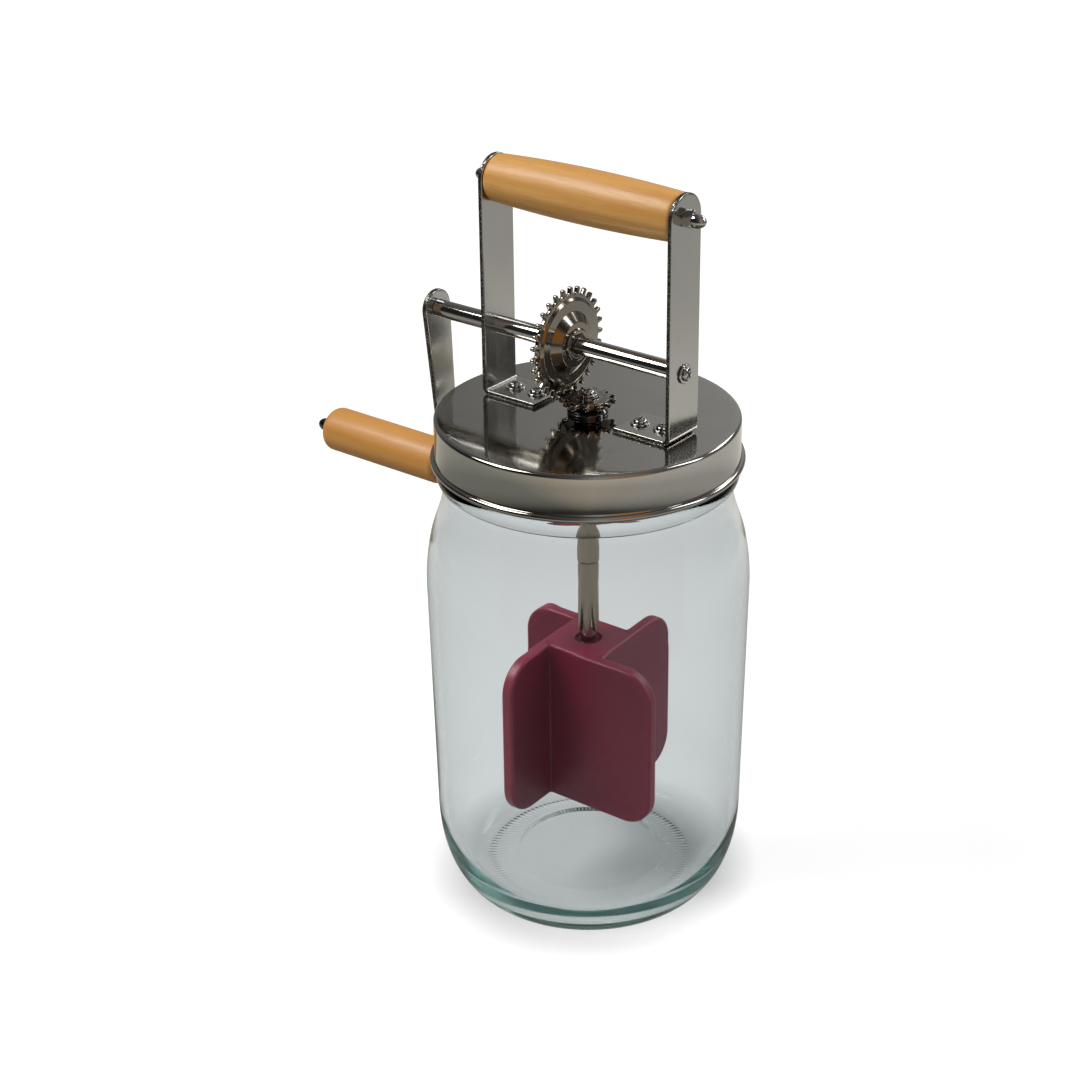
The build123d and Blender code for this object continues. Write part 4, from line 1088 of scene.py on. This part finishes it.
class MIXER_OT_gears(Operator):
    """Press the gear with its ring and cone, its collar and staking, and the small pinion."""

    bl_idname = "mixer.gears"
    bl_label = "Gear and pinion"

    def execute(self, context):
        s = context.scene.mixer_gears
        at = (0, 0, SHAFT_AXIS)
        tip = 18.5 * MM
        back, hub = low("drive_gear", 0), high("drive_gear", 0)
        sheet = 1.5 * MM
        front, raised = back + sheet, back + sheet + 0.8 * MM
        teeth = toothed(tip - s.gear_tooth, tip, s.gear_tooth_width, s.gear_teeth, -QUARTER)
        pressed = rounded(
            [(5.0 * MM, hub, 0), (7.6 * MM, hub, 0.5 * MM), (10.5 * MM, raised, 0.3 * MM),
             (14.0 * MM, raised, 0.45 * MM), (14.9 * MM, front, 0.35 * MM), (15.4 * MM, front, 0)], 6,
        )
        behind = rounded(
            [(15.3 * MM, back, 0), (14.2 * MM, back, 0.4 * MM), (13.4 * MM, raised - sheet, 0.4 * MM),
             (9.9 * MM, raised - sheet, 0.4 * MM), (6.9 * MM, hub - sheet, 0.4 * MM), (5.0 * MM, hub - sheet, 0)], 6,
        )
        rows = [(self.matched(r, teeth), x) for r, x in pressed]
        rows += side_rows(teeth, front, back, s.edge)
        rows += [(self.matched(r, teeth), x) for r, x in behind]
        disc = stand(stack(rows), "X", at)
        piece("pressed_gear", [quads(disc, wrap_rows=True)], finish("Gear plate"), "crank",
              ["drive_gear"])

        collar_back, lip = low("gear_collar", 0), high("gear_collar", 0)
        bar, wide, shoulder = radius("crank_shaft"), radius("gear_collar"), hub - sheet - 0.05 * MM
        profile = rounded(
            [(bar - 0.3 * MM, collar_back, 0), (wide, collar_back, 0.4 * MM), (wide, shoulder, 0.2 * MM),
             (5.0 * MM, shoulder, 0), (5.0 * MM, hub, 0), (5.7 * MM, hub, 0.12 * MM),
             (5.2 * MM, lip, 0.35 * MM), (3.9 * MM, lip, 0.1 * MM), (3.5 * MM, lip - 0.5 * MM, 0.1 * MM),
             (bar - 0.3 * MM, lip - 0.5 * MM, 0)], 5,
        )
        collar = turned(profile, 96, "X", at)
        piece("gear_boss", [quads(collar, wrap_rows=True)], finish("Gear plate"), "crank",
              ["gear_collar"])
        marks = self.staking(bar, lip, at)
        piece("staking_marks", [quads(marks, wrap_rows=True)], finish("Staked steel"), "crank")

        bottom, top = low("pinion", 2), high("pinion", 2)
        plate_top = bottom + 1.6 * MM
        first = math.pi + math.pi / s.pinion_teeth
        small_tip = high("pinion", 0)
        small = toothed(small_tip - s.pinion_tooth, small_tip, s.pinion_tooth_width, s.pinion_teeth, first)
        boss = rounded(
            [(2.4 * MM, top, 0), (3.6 * MM, top, 0.25 * MM), (3.7 * MM, plate_top, 0.3 * MM),
             (5.6 * MM, plate_top, 0)], 5,
        )
        rows = [(self.matched(r, small), z) for r, z in boss]
        rows += side_rows(small, plate_top, bottom, s.edge)
        rows += [(self.matched(r, small), bottom) for r in (5.6 * MM, 2.4 * MM)]
        piece("small_pinion", [quads(stack(rows), wrap_rows=True)], finish("Gear plate"), "spindle",
              ["pinion"])
        # painted shade: the spacer under the pinion gets the near-black plate
        dress("pinion_spacer", "Plate darkened as painted shade")
        return {"FINISHED"}

    @staticmethod
    def matched(size, teeth):
        """A circle's points at the angles of the toothed outline's points."""
        return teeth / np.linalg.norm(teeth, axis=1, keepdims=True) * size

    @staticmethod
    def staking(bar, lip, at, count=120):
        """The dark, punched ring between collar and bar. Its outer radius is the bar's + 0.45 mm + 0.75 mm
        times (0.5 + 0.5 cos(5a + 0.6))^2."""
        lobe = (0.5 + 0.5 * np.cos(5 * turns(count) + 0.6)) ** 2
        ring = around(turns(count))
        outer = ring * (bar + 0.45 * MM + 0.75 * MM * lobe)[:, None]
        inner = ring * (bar - 0.2 * MM)
        rows = [(outer, lip - 0.3 * MM), (outer, lip + 0.06 * MM), (0.97 * outer, lip + 0.12 * MM),
                (inner, lip + 0.12 * MM), (inner, lip - 0.3 * MM)]
        return stand(stack(rows), "X", at)


class MIXER_OT_spindle(Operator):
    """Make the bearing sleeve with its flange and the ferrule with its pointed fingers."""

    bl_idname = "mixer.spindle"
    bl_label = "Sleeve and ferrule"

    def execute(self, context):
        bottom, top = low("bearing_sleeve", 2), high("bearing_sleeve", 2)
        flange, tube, bore = radius("bearing_sleeve"), 3.7 * MM, 2.55 * MM
        groove = tube - 0.12 * MM
        face = rounded(
            [(bore, top, 0), (4.6 * MM, top, 0.2 * MM), (flange - 1.1 * MM, top - 0.35 * MM, 0.3 * MM),
             (flange, LID_TOP + 1.0 * MM, 0.35 * MM), (flange, LID_TOP, 0.1 * MM), (bore, LID_TOP, 0)], 5,
            closed=True,
        )
        # painted shade: the flange under the pinion gets the near-black plate
        piece("bearing_flange", [quads(turned(face, 96), wrap_rows=True)], finish("Plate darkened as painted shade"), "head",
              ["bearing_sleeve"])
        profile = rounded(
            [(bore, LID_TOP, 0), (tube, LID_TOP, 0), (tube, LID_UNDER - 12 * MM, 0),
             (groove, LID_UNDER - 12.3 * MM, 0.1 * MM), (groove, LID_UNDER - 14 * MM, 0.1 * MM),
             (tube, LID_UNDER - 14.3 * MM, 0), (tube, bottom, 0.35 * MM), (bore, bottom, 0.1 * MM)], 5, closed=True,
        )
        piece("bearing_tube", [quads(turned(profile, 96), wrap_rows=True)], finish("Dull tube"), "head")

        ferrule = self.ferrule(high("drive_ferrule", 2), low("drive_ferrule", 2))
        piece("finger_ferrule", [quads(ferrule, wrap_rows=True)], finish("Dull tube"), "spindle",
              ["drive_ferrule"])
        dress("spindle", "Bright plate")
        return {"FINISHED"}

    @staticmethod
    def ferrule(top, bottom, notches=6, first=math.radians(28.0), deep=11.0 * MM, count=240):
        """A tube whose lower edge rises into pointed notches by deep * (1 - off)^2, where off is the turn
        from a notch's middle over half the pitch. Rows share the height between the plain top and that
        edge, down the outside and back up the inside, and a shallow waist stands above the notches."""
        ring = around(turns(count))
        pitch = FULL / notches
        off = np.abs((turns(count) - first + pitch / 2) % pitch - pitch / 2) / (pitch / 2)
        edge = bottom + deep * (1 - off) ** 2
        start = bottom + deep + 2 * MM
        share = np.linspace(0, 1, 16)[:, None]
        above = np.linspace(top, start, 10)[:-1, None] * np.ones((1, count))
        height = np.concatenate([above, start + (edge[None] - start) * share])
        outer = 3.5 * MM - 0.10 * MM * np.exp(-(((height - bottom - 18 * MM) / (3 * MM)) ** 2))
        outer[0] -= 0.2 * MM
        outer[-1] -= 0.15 * MM
        outside = np.concatenate([ring[None] * outer[..., None], height[..., None]], -1)
        within = np.concatenate([ring[None] * np.full(height.shape + (1,), 2.6 * MM), height[..., None]], -1)[::-1]
        return np.concatenate([outside, within])


class MIXER_OT_paddle(Operator):
    """Mould the silicone paddle: a square hub whose four faces run on past a corner as blades."""

    bl_idname = "mixer.paddle"
    bl_label = "Paddle"

    def execute(self, context):
        s = context.scene.mixer_paddle
        bottom, top = low("paddle", 2), high("paddle", 2)
        turn = np.linspace(0, QUARTER, 6)
        rim = s.rim * (1 - np.cos(turn))
        lower = bottom + s.bottom_round * (1 - np.cos(np.linspace(0, QUARTER, 13)))
        upper = top - s.top_round * (1 - np.cos(np.linspace(0, QUARTER, 17)))[::-1]
        between = np.linspace(bottom + s.bottom_round, top - s.top_round, 20)
        heights = np.unique(np.round(np.concatenate([bottom + rim, lower, between, upper, top - rim]), 7))
        quarter = np.stack([self.section(z, bottom, top, s) for z in heights])
        wall = np.concatenate([spun(quarter[..., :2], k * QUARTER + s.turn) for k in range(4)], 1)
        near = np.clip(1 - np.concatenate([quarter[..., 2]] * 4, 1) / (2.2 * s.rim), 0, 1)
        z = np.broadcast_to(heights[:, None, None], wall.shape[:2] + (1,))
        skin = np.concatenate([wall, z], -1)
        mouth = 4.6 * MM
        lip = rounded([(mouth + 0.5 * MM, top, 0), (mouth, top, 0.45 * MM), (mouth, top - 1.8 * MM, 0.3 * MM),
                       (2.5 * MM, top - 1.8 * MM, 0.2 * MM), (2.5 * MM, top - 26 * MM, 0), (0, top - 26 * MM, 0)], 6)
        socket = turned(lip, 96)
        surfaces = [quads(skin), quads(socket)]
        surfaces.append(filled(np.concatenate([skin[-1], socket[0]]), [skin[-1][:, :2], socket[0][:, :2]]))
        surfaces.append(filled(skin[0], [skin[0][:, :2]]))
        plain = np.zeros(socket.shape[0] * socket.shape[1])
        # marks how near each point is to a blade's rim, for the painted glow there
        rims = np.concatenate([near.reshape(-1), plain, near[-1], plain[: socket.shape[1]], near[0]])
        made = piece("mixing_paddle", surfaces, finish("Silicone"), "spindle", ["paddle"], sharp=70.0,
                     mark=("rim", rims))
        weighted(made)
        return {"FINISHED"}

    @staticmethod
    def section(z, bottom, top, s):
        """A quarter of the paddle's outline at one height, as (x, y, distance to the blade's rim). The
        blade's tip stands where its rounded corner leaves it at this height. Each face sinks by r -
        sqrt(r^2 - (r - d)^2) within r of the rim, where d is the distance to the blade's own outline, seen
        from its face."""
        half, reach = s.hub / 2, s.hub / 2 + s.reach
        up, down = top - z, z - bottom
        back_top = s.top_round - math.sqrt(max(0.0, s.top_round**2 - max(0.0, s.top_round - up) ** 2))
        back_low = s.bottom_round - math.sqrt(max(0.0, s.bottom_round**2 - max(0.0, s.bottom_round - down) ** 2))
        tip = reach - back_top - back_low
        near = s.rim * (1 - np.cos(np.linspace(0, QUARTER, 7)))
        start = -half + s.blade + s.corner
        out = np.concatenate([np.linspace(start, tip - 1.6 * s.rim, 30), tip - near[::-1]])
        back = np.concatenate([tip - near, np.linspace(tip - 1.6 * s.rim, half + s.corner, 22)])

        def to_rim(x):
            """Distance to a rounded outline, seen from the blade's face."""
            edge = np.minimum(reach - x, min(up, down))
            corner = s.top_round if up < down else s.bottom_round
            a, b = corner - (reach - x), corner - min(up, down)
            rounded_part = corner - np.hypot(a, b)
            return np.where((a > 0) & (b > 0), rounded_part, edge)

        def sunk(x):
            d = np.clip(to_rim(x), 0, s.rim)
            return s.rim - np.sqrt(np.maximum(s.rim**2 - (s.rim - d) ** 2, 0)), to_rim(x)

        sink_out, rim_out = sunk(out)
        sink_back, rim_back = sunk(back)
        face = np.column_stack([out, -half + sink_out, rim_out])
        other = np.column_stack([back, -half + s.blade - sink_back, rim_back])
        arc = np.linspace(0, QUARTER, 7)[1:-1]
        sink = s.rim - math.sqrt(max(0.0, s.rim**2 - max(0.0, s.rim - min(up, down)) ** 2))
        centre = np.array([half + s.corner, -half + s.blade + s.corner])
        bend = centre - (s.corner + sink) * np.column_stack([np.sin(arc), np.cos(arc)])
        inner = np.column_stack([bend, np.full(len(bend), 1.0)])
        last = np.array([[half - sink, -half + s.blade + s.corner, 1.0]])
        return np.concatenate([face, other, inner, last])


class MIXER_OT_stage(Operator):
    """Set the pale floor, the studio lamps and the camera at the photograph's place."""

    bl_idname = "mixer.stage"
    bl_label = "Stage"

    def execute(self, context):
        s = context.scene.mixer_stage
        scene = context.scene
        scene.view_settings.view_transform = "Standard"
        scene.cycles.max_bounces = scene.cycles.transmission_bounces = 24    # the thick heel turns light many times
        scene.cycles.glossy_bounces = 16
        self.floor(s)
        self.world(scene)
        self.lamps()
        data = bpy.data.cameras.new("Camera")
        camera = bpy.data.objects.new("Camera", data)
        scene.collection.objects.link(camera)
        scene.camera = camera
        side, rise = math.sin(s.azimuth), math.cos(s.azimuth)
        target = Vector((5.45 * MM * rise, 5.45 * MM * side, LID_TOP - 2.36 * MM))
        back = Vector((side * math.cos(s.elevation), -rise * math.cos(s.elevation), math.sin(s.elevation)))
        camera.location = target + back * s.distance
        camera.rotation_euler = (-back).to_track_quat("-Z", "Y").to_euler()
        data.lens = s.lens
        data.sensor_width = 36.0
        data.shift_x, data.shift_y = -0.0598, -0.1121
        return {"FINISHED"}

    @staticmethod
    def floor(s):
        """A wide plane at the jar's foot. The camera sees it lifted to white, with a painted shadow where the jar
        stands, since the clear glass casts none. Clear glass sees its glow dimmed, to 0.69 near the jar and to
        0.47 far out. Metal mirrors a painted glow in its place, as if a pale floor were lit from the right: the
        glow is a ramp over the distance along the line through the object from the camera's left to its right,
        times one that paints shade near the jar and one that fades far out."""
        mesh = bpy.data.meshes.new("studio_floor")
        size = 6.0
        corners = [(-size, -size, 0), (size, -size, 0), (size, size, 0), (-size, size, 0)]
        mesh.from_pydata(corners, [], [(0, 1, 2, 3)])
        plane = bpy.data.objects.new("studio_floor", mesh)
        bpy.context.scene.collection.objects.link(plane)
        plane.location.z = -0.05 * MM
        w = Wiring(bpy.data.materials.new("Studio floor"))
        w.set(Base_Color=(s.floor, s.floor, s.floor, 1), Roughness=0.9, Specular_IOR_Level=0.0)
        x, y, z = w.add("SeparateXYZ", None, Vector=w.add("TexCoord").outputs["Object"]).outputs
        out = w.length(x, y)
        # painted shadow of the jar: the glow falls to a quarter within 38 mm of the middle, as the clear glass casts
        # none
        under = w.range(out, 0.038, 0.060, 0.25, 1.0)
        path = w.add("LightPath").outputs
        seen = w.maths("MAXIMUM", path["Is Camera Ray"], path["Is Transmission Ray"])
        pale = w.add("BsdfDiffuse", None, Color=(0.30, 0.30, 0.30, 1))
        glow_with_painted_shadow = w.product(under, w.range(out, 0.3, 1.6, 0.78, 0.93))
        through = w.maths("MAXIMUM", path["Is Camera Ray"], w.range(out, 0.12, 0.36, 0.69, 0.47))
        glow = w.add("Emission", None, Color=(1, 1, 1, 1), Strength=w.product(glow_with_painted_shadow, through))
        lifted = w.feed("AddShader", pale.outputs[0], glow.outputs[0]).outputs[0]
        across = w.maths("ADD", w.product(x, CAMERA_RIGHT[0]), w.product(y, CAMERA_RIGHT[1]))
        # painted reflection: the floor's glow for glossy rays, paler towards the camera's right as if lit from there
        painted_glow_colour = w.ramp(w.range(across, -0.5, 0.5, 0.0, 1.0), [
            (0.0, (0.46, 0.47, 0.43)), (0.3, (0.74, 0.68, 0.57)), (0.52, (0.88, 0.82, 0.70)),
            (0.8, (0.82, 0.79, 0.72)), (1.0, (0.82, 0.81, 0.78)),
        ])
        # painted shade in that glow near the jar, and a fall-off far out
        painted_glow_falloff = w.ramp(out, [(0.16, 0.22), (0.28, 0.40), (0.38, 0.85), (0.42, 1.0), (0.49, 1.0), (0.62, 0.72)])
        painted_glow_falloff = w.product(painted_glow_falloff, w.range(out, 0.8, 2.0, 1.0, 0.12))
        painted_floor_glow = w.add("Emission", None, Color=painted_glow_colour, Strength=painted_glow_falloff)
        both = w.shaders(path["Is Glossy Ray"], w.shader.outputs[0], painted_floor_glow.outputs[0])
        w.put(w.output, "Surface", w.shaders(seen, both, lifted))
        mesh.materials.append(w.owner)

    @staticmethod
    def world(scene):
        """White for the camera, two thirds of it for clear glass, and plain grey light on everything else.
        Metal mirrors a room, whose light is the product of four smooth ramps over the direction of the
        look: it grows from the camera's left to the middle, falls again far to the right, falls straight
        above, and falls towards the left front. A small warm patch stands to the right, a little above the
        horizon."""
        scene.world = bpy.data.worlds.new("Studio")
        w = Wiring(scene.world, "Background", "World Output")
        look = w.add("TexCoord").outputs["Generated"]

        def towards(direction, low_in, high_in, low_out, high_out):
            """A smooth ramp over how far the look lies along a direction."""
            along = w.feed("VectorMath", look, direction, operation="DOT_PRODUCT").outputs["Value"]
            return w.range(along, low_in, high_in, low_out, high_out, "SMOOTHSTEP")

        grey = w.product(
            towards(CAMERA_RIGHT, -0.16, 0.14, 0.20, 0.50), towards((0.0, 0.0, 1.0), 0.35, 0.95, 1.0, 0.55),
            towards((-0.55, -0.83, 0.0), 0.2, 0.85, 1.0, 0.12), towards(CAMERA_RIGHT, 0.20, 0.75, 1.0, 0.34),
        )
        warm = towards((0.871, -0.380, 0.310), 0.950, 0.963, 0.0, 1.0)
        room = w.add("Background", None, Color=w.mix(warm, grey, (0.62, 0.27, 0.07)), Strength=1.0)
        w.set(Color=(1, 1, 1, 1), Strength=0.38)
        path = w.add("LightPath").outputs
        through = w.range(path["Is Camera Ray"], 0.0, 1.0, 0.66, 1.0)
        white = w.add("Background", None, Color=(1, 1, 1, 1), Strength=through)
        seen = w.maths("MAXIMUM", path["Is Camera Ray"], path["Is Transmission Ray"])
        first = w.shaders(path["Is Glossy Ray"], w.shader.outputs[0], room.outputs[0])
        w.put(w.output, "Surface", w.shaders(seen, first, white.outputs[0]))

    def lamps(self):
        """A soft lamp high over the camera's left shoulder, a long strip on the right and one behind."""
        self.lamp("key", (-0.62, -0.52, 1.12), 0.62, 0.5, 13.0, (1.0, 0.985, 0.96))
        self.lamp("strip", (0.95, 0.62, 0.95), 0.22, 0.9, 4.5, (0.96, 0.98, 1.0))
        self.lamp("back", (0.25, 1.2, 0.95), 0.8, 0.3, 4.5, (1.0, 1.0, 1.0))

    @staticmethod
    def lamp(name, place, width, height, power, tint):
        data = bpy.data.lights.new(name, "AREA")
        data.shape, data.size, data.size_y = "RECTANGLE", width, height
        data.energy, data.color = power, tint
        lamp = bpy.data.objects.new(name, data)
        bpy.context.scene.collection.objects.link(lamp)
        lamp.location = place
        aim = Vector((0, 0, 0.13)) - lamp.location
        lamp.rotation_euler = aim.to_track_quat("-Z", "Y").to_euler()


# --- Panel and running ---------------------------------------------------------------------------------------

MAKERS = (
    MIXER_OT_jar, MIXER_OT_lid, MIXER_OT_uprights, MIXER_OT_fasteners, MIXER_OT_handles, MIXER_OT_crank,
    MIXER_OT_gears, MIXER_OT_spindle, MIXER_OT_paddle, MIXER_OT_stage,
)
GROUPS = {
    "mixer_jar": MixerJarSizes,
    "mixer_metal": MixerMetalSizes,
    "mixer_gears": MixerGearSizes,
    "mixer_paddle": MixerPaddleSizes,
    "mixer_finishes": MixerFinishes,
    "mixer_stage": MixerStage,
}


class VIEW3D_PT_mixer(Panel):
    """Lists the pieces in the order they are made, and the sizes and finishes they read."""

    bl_label = "Crank mixer jar"
    bl_idname = "VIEW3D_PT_mixer"
    bl_space_type = "VIEW_3D"
    bl_region_type = "UI"
    bl_category = "Mixer"

    def draw(self, context):
        for maker in MAKERS:
            self.layout.operator(maker.bl_idname, text=maker.bl_label)
        for name, group in GROUPS.items():
            box = self.layout.box()
            box.label(text=group.__doc__)
            for key in group.__annotations__:
                box.prop(getattr(context.scene, name), key)


def register():
    for cls in (*GROUPS.values(), *MAKERS, VIEW3D_PT_mixer):
        bpy.utils.register_class(cls)
    for name, group in GROUPS.items():
        setattr(bpy.types.Scene, name, PointerProperty(type=group))


def unregister():
    for name in GROUPS:
        delattr(bpy.types.Scene, name)
    for cls in reversed((*GROUPS.values(), *MAKERS, VIEW3D_PT_mixer)):
        bpy.utils.unregister_class(cls)


def main():
    register()
    for maker in MAKERS:
        group, name = maker.bl_idname.split(".")
        getattr(getattr(bpy.ops, group), name)()


if __name__ == "__main__":
    main()
